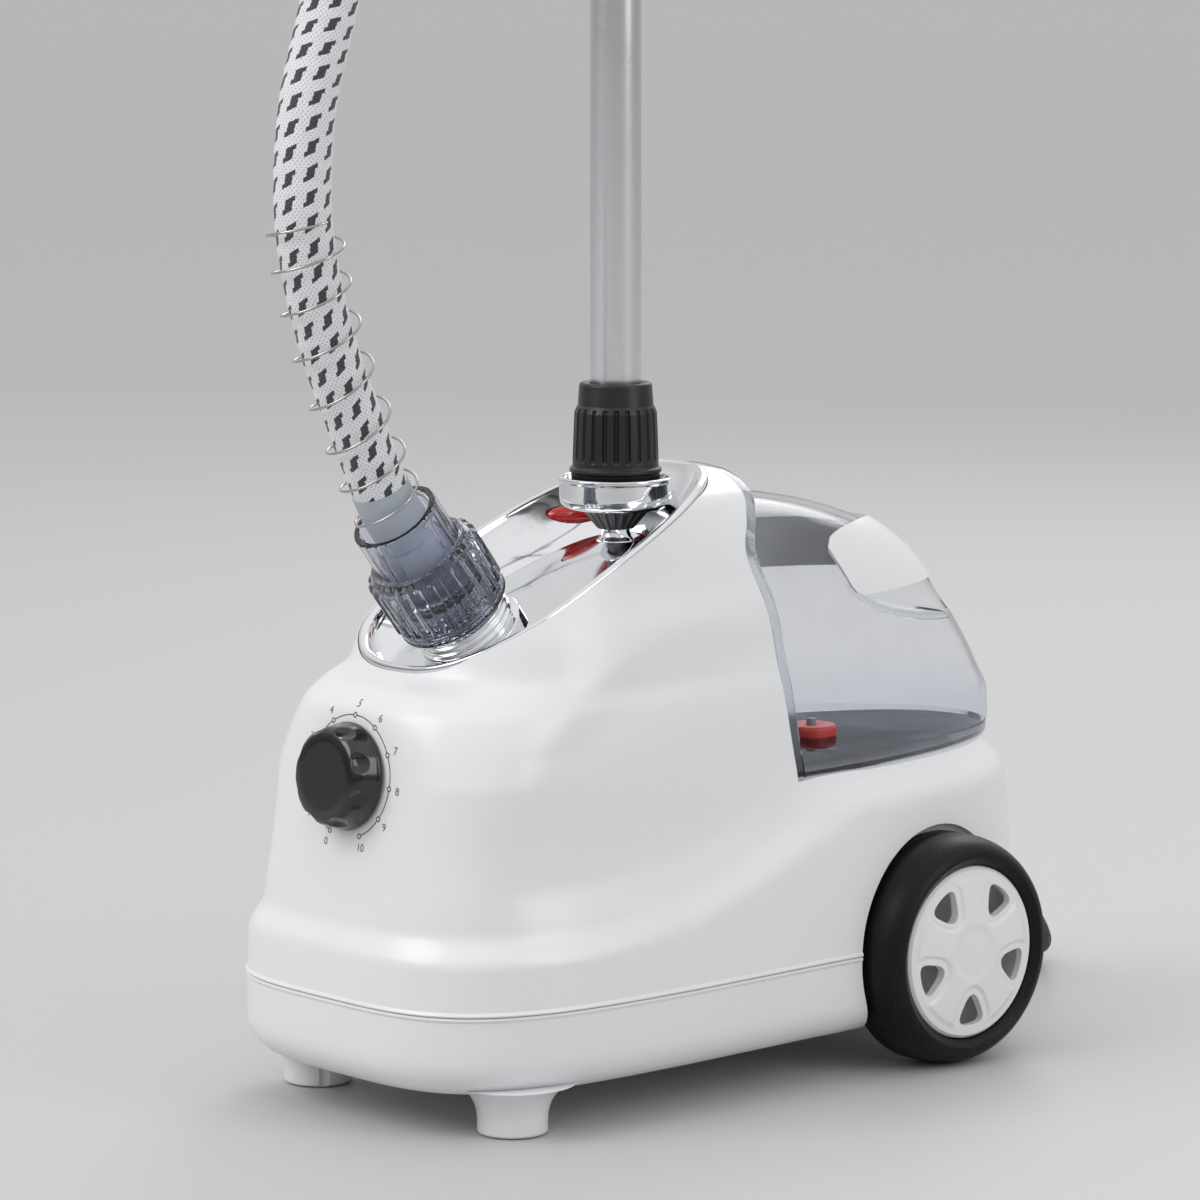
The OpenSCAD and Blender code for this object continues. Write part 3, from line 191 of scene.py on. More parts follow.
world = bpy.data.worlds.new("studio")
world.use_nodes = True
scene.world = world
sky = world.node_tree
dome = sky.nodes["Background"]
way_x, way_y, upward = split(tap(sky, "ShaderNodeTexCoord", out="Generated"))
rearward = way_y * 0.67 - way_x * 0.74
glow = steps_of(upward, 0.02, 0.30, 0.16, 0.60)
crown = steps_of(upward, 0.30, 0.85, 0.0, 0.34)
far_wall = steps_of(rearward, 0.25, 0.85, 0.0, 0.40) * steps_of(upward, 0.05, 0.45, 1.0, 0.0)
shade = glow + crown + far_wall
wall_grey = (0.54, 0.54, 0.535)
rays = put(sky, "ShaderNodeLightPath").outputs
seen = Wire(rays["Is Camera Ray"]).by("MAXIMUM", Wire(rays["Is Transmission Ray"]))
dome_colour = tap(sky, "ShaderNodeCombineColor", [(0, shade), (1, shade), (2, shade)])
feed(blended(seen, dome_colour, wall_grey), dome.inputs[0])
dome.inputs[1].default_value = 1.0


def soft_box(name, place, aim, size, watts):
    data = bpy.data.lights.new(name, "AREA")
    data.shape, data.size, data.size_y, data.energy = "RECTANGLE", size[0], size[1], watts
    lamp = linked(name, data)
    lamp.location = place
    lamp.rotation_euler = (Vector(aim) - Vector(place)).to_track_quat("-Z", "Y").to_euler()


soft_box("key_box", (-0.6, -2.2, 1.9), (0, 0, 0.2), (1.6, 1.6), 30)
soft_box("side_box", (2.4, 0.7, 1.3), (0, 0, 0.2), (1.0, 1.6), 13)
soft_box("back_box", (-1.2, 1.9, 1.7), (0, 0, 0.3), (1.2, 1.2), 12)
floor_mesh = bpy.data.meshes.new("floor")
floor_mesh.from_pydata([(-40, -40, 0), (40, -40, 0), (40, 40, 0), (-40, 40, 0)], [], [(0, 1, 2, 3)])
floor = linked("floor", floor_mesh)
floor_paint, tree, shader = outcome("floor_paint")
plug_in(shader, Base_Color=(0.52, 0.52, 0.52), Roughness=0.6)
floor_mesh.materials.append(floor_paint)


# ---- Steam hose ----
# A rubber hose 28.5 mm across in a woven white sleeve with dark tracer yarns. It is clamped in the cuff
# on the outlet, rises in a bow in front of the pole and goes into the foot of the steam head.
def effect_braid():
    """Dark zig-zag flecks in slanted rows, and the height of the crossing yarns, from the sleeve's own UV."""
    tree, (flecks, pitch, yarns, slant), result = group_with(
        "braided sleeve", [("Flecks around", 8), ("Fleck pitch", 11.8), ("Yarns around", 40), ("Slant", 0.3)],
        ["Fleck", "Height", "Fray"])
    around, along, _ = split(tap(tree, "ShaderNodeUVMap"))
    up = along * 1000.0
    fray = noise(local(tree), 900.0, 3.0)
    stray = fray - 0.5
    cell = around * flecks
    column = cell.by("FLOOR")
    across = (cell - column - 0.5) * 11.2
    lift = up / pitch + column * (slant * -1.0)
    row = (lift - lift.by("FLOOR") - 0.5) * pitch
    rise = row - across * 0.5 + stray * 0.9
    bars = []
    for height, shift, half in ((1.9, 0.9, 2.6), (0.0, 0.0, 2.0), (-1.9, -0.9, 2.6)):
        thick = steps_of(abs(rise - height), 1.0, 1.3, 1, 0)
        bars.append(thick * steps_of(abs(across - shift), half, half + 0.35, 1, 0))
    turn_of, rate = around * (yarns * math.pi), up * 1.15
    one, two = (abs(angle.by("SINE")).by("POWER", 0.7) for angle in (turn_of + rate, turn_of - rate))
    feed(bars[0].by("MAXIMUM", bars[1]).by("MAXIMUM", bars[2]), result.inputs[0])
    feed(one.by("MAXIMUM", two) + stray * 0.6, result.inputs[1])
    feed(fray, result.inputs[2])
    return tree


def spline(points, per):
    """The same smooth line through the points as the part's source draws."""
    points = [np.array(p, float) for p in points]
    last, line = len(points) - 1, []
    for k in range(last):
        a, b, c, d = points[max(k - 1, 0)], points[k], points[k + 1], points[min(k + 2, last)]
        for i in range(per):
            u = i / per
            line.append(b + 0.5 * u * ((c - a) + u * ((2 * a - 5 * b + 4 * c - d) + u * (3 * b - a - 3 * c + d))))
    return np.array(line + [points[last]])


def evenly(line, step):
    """Points a step apart along a line."""
    far = np.concatenate([[0], np.cumsum(np.linalg.norm(np.diff(line, axis=0), axis=1))])
    at = np.linspace(0, far[-1], max(int(round(far[-1] / step)), 2) + 1)
    return np.stack([np.interp(at, far, line[:, i]) for i in range(3)], 1), at


def heading(line):
    way = np.gradient(line, axis=0)
    return way / np.linalg.norm(way, axis=1)[:, None]


def tube(line, radius, sides, start=(1, 0, 0)):
    """Points, faces and corner UVs (turn, metres along) of a round closed tube along a line."""
    way, side = heading(line), np.array(start, float)
    points = []
    for k, p in enumerate(line):
        side = side - way[k] * (side @ way[k])
        side /= np.linalg.norm(side)
        other = np.cross(way[k], side)
        r = radius[k] if np.ndim(radius) else radius
        for i in range(sides):
            a = 2 * math.pi * i / sides
            points.append(p + r * (math.cos(a) * side + math.sin(a) * other))
    far = np.concatenate([[0], np.cumsum(np.linalg.norm(np.diff(line, axis=0), axis=1))]) * MM
    faces, uvs = [], []
    for k in range(len(line) - 1):
        for i in range(sides):
            j = (i + 1) % sides
            faces.append((k * sides + i, k * sides + j, (k + 1) * sides + j, (k + 1) * sides + i))
            uvs += [(i / sides, far[k]), ((i + 1) / sides, far[k]), ((i + 1) / sides, far[k + 1]),
                    (i / sides, far[k + 1])]
    for k, ring in ((0, range(sides - 1, -1, -1)), (len(line) - 1, range(sides))):
        faces.append(tuple(k * sides + i for i in ring))
        uvs += [(0, far[k])] * sides
    return points, faces, uvs


def finished(obj, material, body, stands_for=(), angle=32, blend=None):
    """Shades a new piece, gives it its material and slot, and makes it ride; with blend it only stays in place."""
    mesh = obj.data
    if not any(mesh.materials):
        mesh.materials.clear()
        mesh.materials.append(material)
    mesh.shade_smooth()
    mesh.set_sharp_from_angle(angle=math.radians(angle))
    if blend:
        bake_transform(obj)
    else:
        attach(obj, body)
    if stands_for:
        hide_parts(*stands_for)
    return obj


def shape(name, points, faces, uvs=None, mend=True):
    """A new object from points in millimetres."""
    mesh = bpy.data.meshes.new(name)
    mesh.from_pydata([tuple(p) for p in np.asarray(points, float) * MM], [], [tuple(f) for f in faces])
    if uvs:
        layer = mesh.uv_layers.new(name="UVMap")
        layer.data.foreach_set("uv", np.array(uvs, np.float32).ravel())
    if mend:
        work = bmesh.new()
        work.from_mesh(mesh)
        bmesh.ops.remove_doubles(work, verts=work.verts, dist=1e-7)
        bmesh.ops.recalc_face_normals(work, faces=work.faces)
        work.to_mesh(mesh)
        work.free()
    return linked(name, mesh)


port_y, port_z, port_tilt = -126.0, 234.12, math.radians(38)
port_way = np.array([0, -math.sin(port_tilt), math.cos(port_tilt)])
cuff_top, head_y, grip_z, pole_y = 70, -85, 1220, -30
hose_start = np.array([0, port_y, port_z]) + (cuff_top + 0.1) * port_way
hose_route = [hose_start, (0, -183, 309), (0, -198, 341), (0, -217, 384), (0, -229, 425), (0, -233, 460),
              (0, -229, 505), (0, -215, 555), (0, -199, 630), (0, -183, 720), (0, -150, 890), (0, -118, 1050),
              (0, -95, 1140), (0, head_y, grip_z - 40), (0, head_y, grip_z - 15), (0, head_y, grip_z)]
hose_line, _ = evenly(spline(hose_route, 10), 2.5)
hose_r = 14.1
swell = hose_r + 0.15 * np.sin(np.arange(len(hose_line)) * 1.7)
hose = shape("woven_hose", *tube(hose_line, swell, 56), mend=False)
sleeve, tree, shader = outcome("woven_sleeve")
woven = put(tree, "ShaderNodeGroup", node_tree=effect_braid()).outputs
yarn = Wire(woven["Height"])
thread = blended(Wire(woven["Fleck"]), (0.80, 0.81, 0.84), (0.035, 0.036, 0.042))
# Painted shade: the sleeve's colour goes towards dark grey in the hollows between the yarns, where shade falls.
unshaded_share = steps_of(yarn, 0.25, 0.95, 0.55, 1.0)
plug_in(shader, Base_Color=blended((1.0 - unshaded_share) * 0.8, thread, (0.20, 0.21, 0.24)), Roughness=0.62,
        Sheen_Weight=0.25, Normal=bump(yarn, 0.9, 0.0006))
finished(hose, sleeve, "base", ["steam_hose"],
         blend=("base", "upper_pole", (0, 0, 0.47), (0, 0, 1.19)))


# ---- Bend spring ----
# Bright 1.4 mm spring wire wound in eight open turns over the hose's first bend; its foot is caught
# inside the clear collar.
def effect_marks():
    """Soft smears and fine scratches left by handling, from 0 to 1."""
    tree, (size, amount), result = group_with("handling marks", [("Size", 30.0), ("Amount", 1.0)], ["Marks"])
    place, rate = local(tree), 1000.0 / size
    wide = steps_of(noise(place, rate, 4.0, Distortion=0.6), 0.42, 0.68)
    fine = steps_of(noise(place, rate * 9.0, 2.0), 0.30, 0.72, 0.4, 1.0)
    feed((wide * fine).by("MULTIPLY", amount, clamp=True), result.inputs[0])
    return tree


def effect_grain():
    """The fine texture of a moulded or cast surface, as a height."""
    tree, (size, depth), result = group_with("surface grain", [("Size", 0.8), ("Depth", 1.0)], ["Height"])
    feed(noise(local(tree), 1000.0 / size, 2.0, Roughness=0.6) * depth, result.inputs[0])
    return tree


def effect_edges():
    """Corners and rims rubbed by use, from 0 to 1."""
    tree, (amount, patch), result = group_with("rubbed edges", [("Amount", 1.0), ("Patch size", 6.0)], ["Rubbed"])
    sharp = steps_of(tap(tree, "ShaderNodeNewGeometry", out="Pointiness"), 0.52, 0.62)
    worn = sharp * steps_of(noise(local(tree), 1000.0 / patch, 3.0), 0.38, 0.62)
    feed(worn.by("MULTIPLY", amount, clamp=True), result.inputs[0])
    return tree


def effect_dust():
    """Dust that settles on faces that look up and close to the floor, from 0 to 1."""
    tree, (amount,), result = group_with("settled dust", [("Amount", 1.0)], ["Dust"])
    up = split(tap(tree, "ShaderNodeNewGeometry", out="Normal"))[2]
    place = local(tree)
    low = steps_of(split(place)[2], 0.0, 0.09, 0.6, 0.0)
    face = steps_of(up, 0.55, 1.0, 0.0, 0.5).by("MAXIMUM", low)
    made = face * steps_of(noise(place, 700.0, 3.0), 0.45, 0.7)
    feed(made.by("MULTIPLY", amount, clamp=True), result.inputs[0])
    return tree


effects = {"marks": effect_marks(), "grain": effect_grain(), "edges": effect_edges(), "dust": effect_dust()}


def effect(tree, name, first):
    """One of the effects, with its first value (a size in mm, or an amount) set."""
    return tap(tree, "ShaderNodeGroup", [(0, float(first))], node_tree=effects[name])


def finish(name, colour, rough, metal=0.0, grain=(0.8, 0.02), smear=(30, 0.10), tone=0.05, rubbed=None,
           dust=0.12, **sockets):
    """A material with grain, handling marks, rubbed edges and dust; grain is (size, depth in mm)."""
    made, tree, shader = outcome(name)
    marks = effect(tree, "marks", smear[0])
    paint = blended(marks, colour, tuple(c * (1 - tone) for c in colour))
    dulled = marks.by("MULTIPLY_ADD", smear[1], rough)
    if rubbed:
        paint = blended(effect(tree, "edges", rubbed[1]), paint, rubbed[0])
    if dust:
        fallen = effect(tree, "dust", dust)
        paint = blended(fallen, paint, (0.42, 0.41, 0.39))
        dulled = fallen.by("MULTIPLY_ADD", 0.4, dulled, clamp=True)
    plug_in(shader, Metallic=metal, Base_Color=paint, Roughness=dulled,
            Normal=bump(effect(tree, "grain", grain[0]), 0.6, grain[1] * MM), **sockets)
    return made


chrome = finish("bright_chrome", (0.78, 0.79, 0.81), 0.05, 1.0, grain=(7, 0.02), smear=(24, 0.07), dust=0.06)
spring_path = spline([hose_start - 16 * port_way] + hose_route, 6)
turns, wire_mid = 8, 18.4


def spring_point(u):
    f = 8 + 26 * u ** 0.9
    k = int(f)
    here = spring_path[k] + (spring_path[k + 1] - spring_path[k]) * (f - k)
    way = spring_path[k + 2] - spring_path[k - 1]
    way /= np.linalg.norm(way)
    a = 2 * math.pi * turns * u
    return here + wire_mid * (math.cos(a) * np.array([1, 0, 0]) + math.sin(a) * np.cross(way, (1, 0, 0)))


wire, _ = evenly(np.array([spring_point(i / 900) for i in range(901)]), 1.6)
spring = shape("bend_spring_wire", *tube(wire, 0.7, 14, (0, 0, 1))[:2])
drawn_wire = finish("drawn_wire", (0.46, 0.45, 0.44), 0.16, 1.0, grain=(2, 0.01), smear=(10, 0.1), dust=0.05)
finished(spring, drawn_wire, "base", ["bend_spring"])


# ---- Mains lead ----
# A 7 mm black rubber lead, 1.8 m long. It drops from its gland to the floor behind the base and is put
# away in a coil of six turns, with its plug beside the coil.
def turned(centre, turns):
    """A coil of turns of (radius, height), each running into the next over a sixth of a turn."""
    line, count = [], 72
    for k, (r, z) in enumerate(turns):
        r2, z2 = turns[k + 1] if k + 1 < len(turns) else (r, z)
        for i in range(count):
            u = i / count
            s = min(max((u - 0.82) / 0.18, 0), 1)
            s = s * s * (3 - 2 * s)
            a = math.pi / 2 + 2 * math.pi * u
            rr, zz = r + (r2 - r) * s, z + (z2 - z) * s
            line.append((centre[0] + rr * math.cos(a), centre[1] + rr * math.sin(a), zz))
    return np.array(line)


outer, inner = 45.5, 38.5
lead_out = spline([(0, 250, 50), (0, 262, 49), (-4, 284, 40), (-15, 306, 22), (-34, 323, 10), (-58, 330, 4.5),
                   (-85, 331.5, 3.6)], 8)
lead_coil = turned((-85, 286), [(outer, 3.6), (inner, 3.6), (inner, 10.5), (outer, 10.5), (inner, 17.4),
                                (outer, 17.4)])
lead_end = spline([(-85, 331.5, 17.4), (-108, 330, 17.2), (-132, 322, 17), (-152, 308, 17), (-162, 294, 17)], 8)
lead_line, _ = evenly(np.concatenate([lead_out[:-1], lead_coil, lead_end]), 3.5)
curve = bpy.data.curves.new("mains_lead", "CURVE")
curve.dimensions, curve.bevel_depth, curve.bevel_resolution = "3D", 0.0035, 5
curve.use_fill_caps = True
thread_line = curve.splines.new("POLY")
thread_line.points.add(len(lead_line) - 1)
thread_line.points.foreach_set("co", np.concatenate([lead_line * MM, np.ones((len(lead_line), 1))], 1).ravel())
lead = linked("mains_lead", curve)
cord_black = finish("cord_rubber", (0.018, 0.018, 0.019), 0.48, grain=(0.5, 0.05), smear=(14, 0.15), dust=0.35)
curve.materials.append(cord_black)
for one in thread_line.points:
    one.radius = 1.0
thread_line.use_smooth = True
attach(lead, "base")
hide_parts("power_cord", "cord_coil")


# ---- Plug and cord gland ----
# A round two-pin plug moulded on the lead, on its side beside the coil, and the tapered rubber gland
# that carries the lead out of the base's tail.
def rounded(profile, radius, steps=3):
    """An outline with its corners rounded; a corner's radius is held to a third of its sides."""
    points = [np.array(p, float) for p in profile]
    made, count = [], len(points)
    for k, p in enumerate(points):
        a, b = points[k - 1] - p, points[(k + 1) % count] - p
        la, lb = np.linalg.norm(a), np.linalg.norm(b)
        reach = min(radius, la / 3, lb / 3)
        if reach < 1e-3 or p[0] < 1e-6:
            made.append(p)
            continue
        first, second = p + a / la * reach, p + b / lb * reach
        for i in range(steps + 1):
            u = i / steps
            made.append((1 - u) ** 2 * first + 2 * u * (1 - u) * p + u * u * second)
    return made


def lathe(name, profile, place=Matrix.Identity(4), sides=96, closed=True, relief=None):
    """A turned shape from (radius, height) points about its own axis; relief(r, z, turn) reshapes it."""
    count, points, faces = len(profile), [], []
    for i in range(sides):
        a = 2 * math.pi * i / sides
        for r, z in profile:
            if relief:
                r, z = relief(r, z, a)
            points.append((r * math.cos(a), r * math.sin(a), z))
    for i in range(sides):
        j = (i + 1) % sides
        for k in range(count if closed else count - 1):
            m = (k + 1) % count
            faces.append((i * count + k, j * count + k, j * count + m, i * count + m))
    at = np.array(place)
    points = np.array(points) @ at[:3, :3].T + at[:3, 3]
    obj = shape(name, points, faces)
    work = bmesh.new()
    work.from_mesh(obj.data)
    bmesh.ops.dissolve_degenerate(work, edges=work.edges, dist=1e-7)
    bmesh.ops.recalc_face_normals(work, faces=work.faces)
    work.to_mesh(obj.data)
    work.free()
    return obj


def joined(name, *objs):
    """Several shapes as one."""
    work = bmesh.new()
    for one in objs:
        work.from_mesh(one.data)
        bpy.data.objects.remove(one)
    mesh = bpy.data.meshes.new(name)
    work.to_mesh(mesh)
    work.free()
    return linked(name, mesh)


def turn(axis, degrees):
    return Matrix.Rotation(math.radians(degrees), 4, axis)


def spot(x, y, z):
    return Matrix.Translation((x, y, z))


def moved(obj, place):
    """Moves a shape's points by a place in millimetres."""
    obj.data.transform(Matrix.Translation(place.translation * MM) @ place.to_3x3().to_4x4())
    return obj


def baked(obj):
    """The object's mesh with its modifiers applied."""
    return bpy.data.meshes.new_from_object(obj.evaluated_get(bpy.context.evaluated_depsgraph_get()))


def settled(obj):
    """Makes the object's modifiers part of its shape."""
    obj.data = baked(obj)
    obj.modifiers.clear()
    return obj


plug_place = spot(-162, 294, 17) @ turn("Z", 235) @ turn("Y", 90)
plug_shape = [(0, 0.05), (4.4, 0.05), (4.7, 3), (5.0, 3.6), (5.0, 5), (4.9, 5.6), (5.3, 8.4), (5.6, 9),
              (5.6, 10.6), (5.5, 11.2), (5.9, 14), (11, 20), (16, 26), (17, 28), (17, 31), (16.6, 31.6),
              (16.6, 33), (17, 33.6), (17, 40), (15.5, 42), (0, 42)]
plug = lathe("moulded_plug", rounded(plug_shape, 0.8), plug_place, 72)
finished(plug, finish("plug_rubber", (0.020, 0.020, 0.021), 0.42, grain=(0.6, 0.05), smear=(14, 0.15), dust=0.3),
         "base", ["power_plug"])
pin_shape = rounded([(0, 41.5), (2.4, 41.5), (2.4, 60.4), (1.6, 61), (0, 61)], 0.5)
pins = joined("plug_pins", *[lathe(f"pin{y}", pin_shape, plug_place @ spot(0, y, 0), 28)
                             for y in (-9.5, 9.5)])
pin_metal = finish("nickel_pins", (0.66, 0.63, 0.58), 0.25, 1.0, grain=(1.5, 0.03), smear=(8, 0.2))
finished(pins, pin_metal, "base")
gland_shape = [(0, -8), (11, -8), (11, -4.5), (8, -4.3), (8, 1.5), (10, 1.8), (10, 4), (6.3, 5.6)]
for k in range(6):
    s, r = 6.6 + 3.1 * k, 6.0 - 0.33 * k
    gland_shape += [(r - 0.7, s), (r - 0.7, s + 1.0), (r, s + 1.4), (r, s + 2.6)]
gland_shape += [(4.0, 25.4), (4.0, 26), (0, 26)]
gland = lathe("cord_gland", rounded(gland_shape, 0.35), spot(0, 224, 50) @ turn("X", -90), 48)
finished(gland, cord_black, "base", ["mains_gland"])


# ---- Base pan ----
# Injection-moulded white ABS tray: rounded lower edge, two flared front feet, wheel wells open at the
# sides and sunk screw holes. Everything else stands on it.
BODY = np.array([
    (64, -218, 218, 104, 101), (100, -216, 218, 101, 99), (141, -210, 216, 96, 94), (172, -206, 205, 94, 88),
    (203, -202, 195, 88, 83), (214, -193, 192, 83, 80), (221, -178, 186, 81, 78), (240, -171, 172, 75, 74),
    (258, -160, 155, 67, 68), (278, -124, 130, 62, 60), (291, -110, 100, 59, 52), (299, -104, 80, 57, 45),
    (303, -100, 68, 52, 38), (307, -95, 56, 42, 30), (310, -88, 44, 28, 20), (311, -78, 34, 8, 6)], float)
TANK = np.array([
    (157, 222, 84), (166, 224, 85), (176, 224, 84), (194, 215, 82), (214, 202, 78.5), (233, 187, 74),
    (255, 167, 66), (274, 138, 55), (282, 117, 47), (289, 91, 39), (295, 57, 25), (297, 40, 14)], float)
arc_steps = 44


def flowing(x, y, at):
    """A smooth curve through (x, y) that never overshoots."""
    h, slope = np.diff(x), np.diff(y) / np.diff(x)
    tilt = np.zeros(len(x))
    for k in range(1, len(x) - 1):
        if slope[k - 1] * slope[k] > 0:
            w1, w2 = 2 * h[k] + h[k - 1], h[k] + 2 * h[k - 1]
            tilt[k] = (w1 + w2) / (w1 / slope[k - 1] + w2 / slope[k])
    tilt[0], tilt[-1] = slope[0], slope[-1]
    at = min(max(at, x[0]), x[-1])
    k = min(int(np.searchsorted(x, at, side="right")) - 1, len(x) - 2)
    u = (at - x[k]) / h[k]
    return float(y[k] * (1 + 2 * u) * (1 - u) ** 2 + tilt[k] * h[k] * u * (1 - u) ** 2
                 + y[k + 1] * u * u * (3 - 2 * u) + tilt[k + 1] * h[k] * u * u * (u - 1))


def ease(v):
    v = np.clip(v, 0, 1)
    return v * v * (3 - 2 * v)


front_mid, rear_mid = -70.0, 14.0


def section(front_w, rear_w, nose, tail, n_front, n_rear):
    """A level section of the body: columns x, y and how far each point goes outwards in x and y."""
    def end(width, mid, reach, power, start):
        t = start + math.pi * np.arange(arc_steps + 1) / arc_steps
        c, s = np.cos(t), np.sin(t)
        c, s = np.sign(c) * np.abs(c) ** (2 / power), np.sign(s) * np.abs(s) ** (2 / power)
        return np.stack([width * c, mid + reach * s, c, s], 1)
    u = (np.arange(5) + 1)[:, None] / 6
    left = np.concatenate([-(rear_w + (front_w - rear_w) * u), rear_mid + (front_mid - rear_mid) * u,
                           -np.ones((5, 1)), np.zeros((5, 1))], 1)
    right = np.concatenate([front_w + (rear_w - front_w) * u, front_mid + (rear_mid - front_mid) * u,
                            np.ones((5, 1)), np.zeros((5, 1))], 1)
    return np.concatenate([end(rear_w, rear_mid, tail - rear_mid, n_rear, 0), left,
                           end(front_w, front_mid, front_mid - nose, n_front, math.pi), right])


def body_ring(z, grow=0.0, at_z=None):
    """The body's section at height z: skirt, ledge round the tank's foot and hollow sides included."""
    nose, tail, front_w, rear_w = (flowing(BODY[:, 0], BODY[:, c], z) for c in (1, 2, 3, 4))
    squareness = float(np.interp(z, (64, 172, 192, 216), (3.6, 4, 3.4, 2.7)))
    ring = section(front_w, rear_w, nose, tail, squareness, 2.4)
    y = ring[:, 1]
    shoulder = np.minimum(166, 95 + 0.00145 * np.maximum(0, y + 150) ** 2)
    skirt = 6 * ease((shoulder - z) / 16 + 0.5)
    ledge = 9 * ease((y - 18) / 30) * ease((z - 134) / 24) ** 1.5
    crease = float(np.interp(z, (93, 146, 186, 215, 244), (-199, -191, -173, -128, -67)))
    hollow = (4 * ease((y - crease) / 45) * ease((30 - y) / 70) * ease((z - shoulder - 4) / 26)
              * ease((252 - z) / 50))
    g = grow + skirt - ledge - hollow * np.abs(ring[:, 2])
    level = np.full(len(y), z if at_z is None else at_z)
    return np.stack([ring[:, 0] + g * ring[:, 2], y + g * ring[:, 3], level], 1)


def stacked(name, rings):
    """A closed skin through level rings that have equally many points."""
    m = len(rings[0])
    faces = [tuple(range(m - 1, -1, -1)), tuple((len(rings) - 1) * m + i for i in range(m))]
    for k in range(len(rings) - 1):
        for i in range(m):
            j = (i + 1) % m
            faces.append((k * m + i, k * m + j, (k + 1) * m + j, (k + 1) * m + i))
    return shape(name, np.concatenate(rings), faces)


def carve(obj, how, tool):
    """Joins (UNION), cuts (DIFFERENCE) or keeps the shared part (INTERSECT) with a tool that is then gone."""
    step = obj.modifiers.new("carve", "BOOLEAN")
    step.operation, step.solver, step.object = how, "EXACT", tool
    step.material_mode = "TRANSFER"
    bpy.context.view_layer.update()
    settled(obj)
    bpy.data.objects.remove(tool)
    return obj


def cut(obj, tool):
    return carve(obj, "DIFFERENCE", tool)


def drum(name, place, radius, low, high, sides=64):
    return lathe(name, [(0, low), (radius, low), (radius, high), (0, high)], place, sides)


def prism(name, outline, low, high, axes="xyz"):
    """A straight prism on an outline; axes "yzx" draws the outline in side view and extrudes across."""
    count = len(outline)
    flat = [(*p, low) for p in outline] + [(*p, high) for p in outline]
    order = {"xyz": (0, 1, 2), "yzx": (2, 0, 1)}[axes]
    points = [tuple(p[i] for i in order) for p in flat]
    faces = [tuple(range(count - 1, -1, -1)), tuple(range(count, 2 * count))]
    faces += [(i, (i + 1) % count, count + (i + 1) % count, count + i) for i in range(count)]
    return shape(name, points, faces)


wheel_y, wheel_z, wheel_in, well_r = 107.5, 60.0, 89.0, 63.5
foot_x, foot_y, base_clear = 76.0, -166.0, 22.0


def at_wheel(side, away=0.0):
    return spot(side * away, wheel_y, wheel_z) @ turn("Y", 90 * side)


rings = []
for a in np.linspace(0, 90, 9):
    a = math.radians(a)
    rings.append(body_ring(64, -19 * (1 - math.sin(a)), base_clear + 19 * (1 - math.cos(a))))
for z, g in ((48, 0), (55, 0), (60, 0), (61.4, 0), (61.9, 0.35), (62.6, 0.7), (63.2, 0.6), (63.7, 0)):
    rings.append(body_ring(64, g, z))
pan = stacked("base_pan_shell", rings)
for x in (-foot_x, foot_x):
    flare = [(0, 0.6), (16.5, 0.6), (17.5, 1.6)]
    flare += [(17.5 + 15 * (1 - math.cos(a)), 7 + 19 * math.sin(a)) for a in np.radians(np.arange(0, 91, 9))]
    flare += [(0, 26)]
    carve(pan, "UNION", lathe("foot", rounded(flare, 0.6), spot(x, foot_y, 0), 72))
for side in (-1, 1):
    cut(pan, drum("well", at_wheel(side), well_r, wheel_in - 4, 200, 160))
    cut(pan, drum("pad", spot(side * foot_x, foot_y, 0), 12.3, -2, 2.3, 48))
    for x, y in ((58, -176), (70, 188)):
        cut(pan, drum("screw_hole", spot(side * x, y, 0), 4.2, -2, 40, 32))
shell_white = finish("white_shell", (0.80, 0.81, 0.825), 0.30, grain=(3.0, 0.004), smear=(60, 0.05), tone=0.012,
                     dust=0.04, Coat_Weight=0.12, Coat_Roughness=0.22)
finished(pan, shell_white, "base", ["base_pan"], angle=28)


# ---- Upper housing ----
# One white gloss moulding over the boiler: square face with the dial, shoulders that rise into wheel
# arches, an opening for the metal dish and a shelf behind for the tank. Screwed to the pan from below.
SEAM = [(14, 156), (10, 209), (9, 231), (7, 248), (4, 260), (2.6, 270), (4, 277), (9, 285), (18, 300), (20, 305),
        (20, 311)]
heights = np.concatenate([[64, 64.3, 64.9, 65.7, 66.4], np.linspace(68, 200, 52),
                          np.linspace(203, 258, 32), np.linspace(260, 300, 18),
                          [301.5, 303, 304.5, 306, 307.5, 309, 310, 310.6, 311]])


def lip(z):
    """The small rolled bead along the housing's lower edge."""
    return float(np.interp(z, (64, 64.3, 64.9, 65.7, 66.4), (0, 0.6, 0.9, 0.6, 0)))


def seam_line(back):
    """The joint between housing and tank in side view, moved back, with its corners eased."""
    line = spline([(0, y + back, z) for y, z in SEAM], 5)
    return [(p[1], p[2]) for p in line]


def behind(name, back, low):
    line = [p for p in seam_line(back) if p[1] > low + 0.2]
    top, far = 380.0, 460.0
    return prism(name, [(line[0][0], low)] + line + [(line[-1][0], top), (far, top), (far, low)], -300, 300, "yzx")


dish_points = 160


def rim_height(y):
    return 311 - 0.2 * max(0, 15 - y) ** 1.15 - 0.004 * max(0, -150 - y) ** 2


def power(v, e):
    return math.copysign(abs(v) ** e, v)


def rim_ring(inset, lift):
    ring = []
    for i in range(dish_points):
        t = 2 * math.pi * (i + 0.5) / dish_points
        back = math.sin(t) >= 0
        e = 2 / (2.4 if back else 2.5)
        c, s = power(math.cos(t), e), power(math.sin(t), e)
        y = -108 + (123 if back else 69) * s
        ring.append(((63 - inset) * c, y - inset * s, rim_height(y) + lift))
    return np.array(ring)


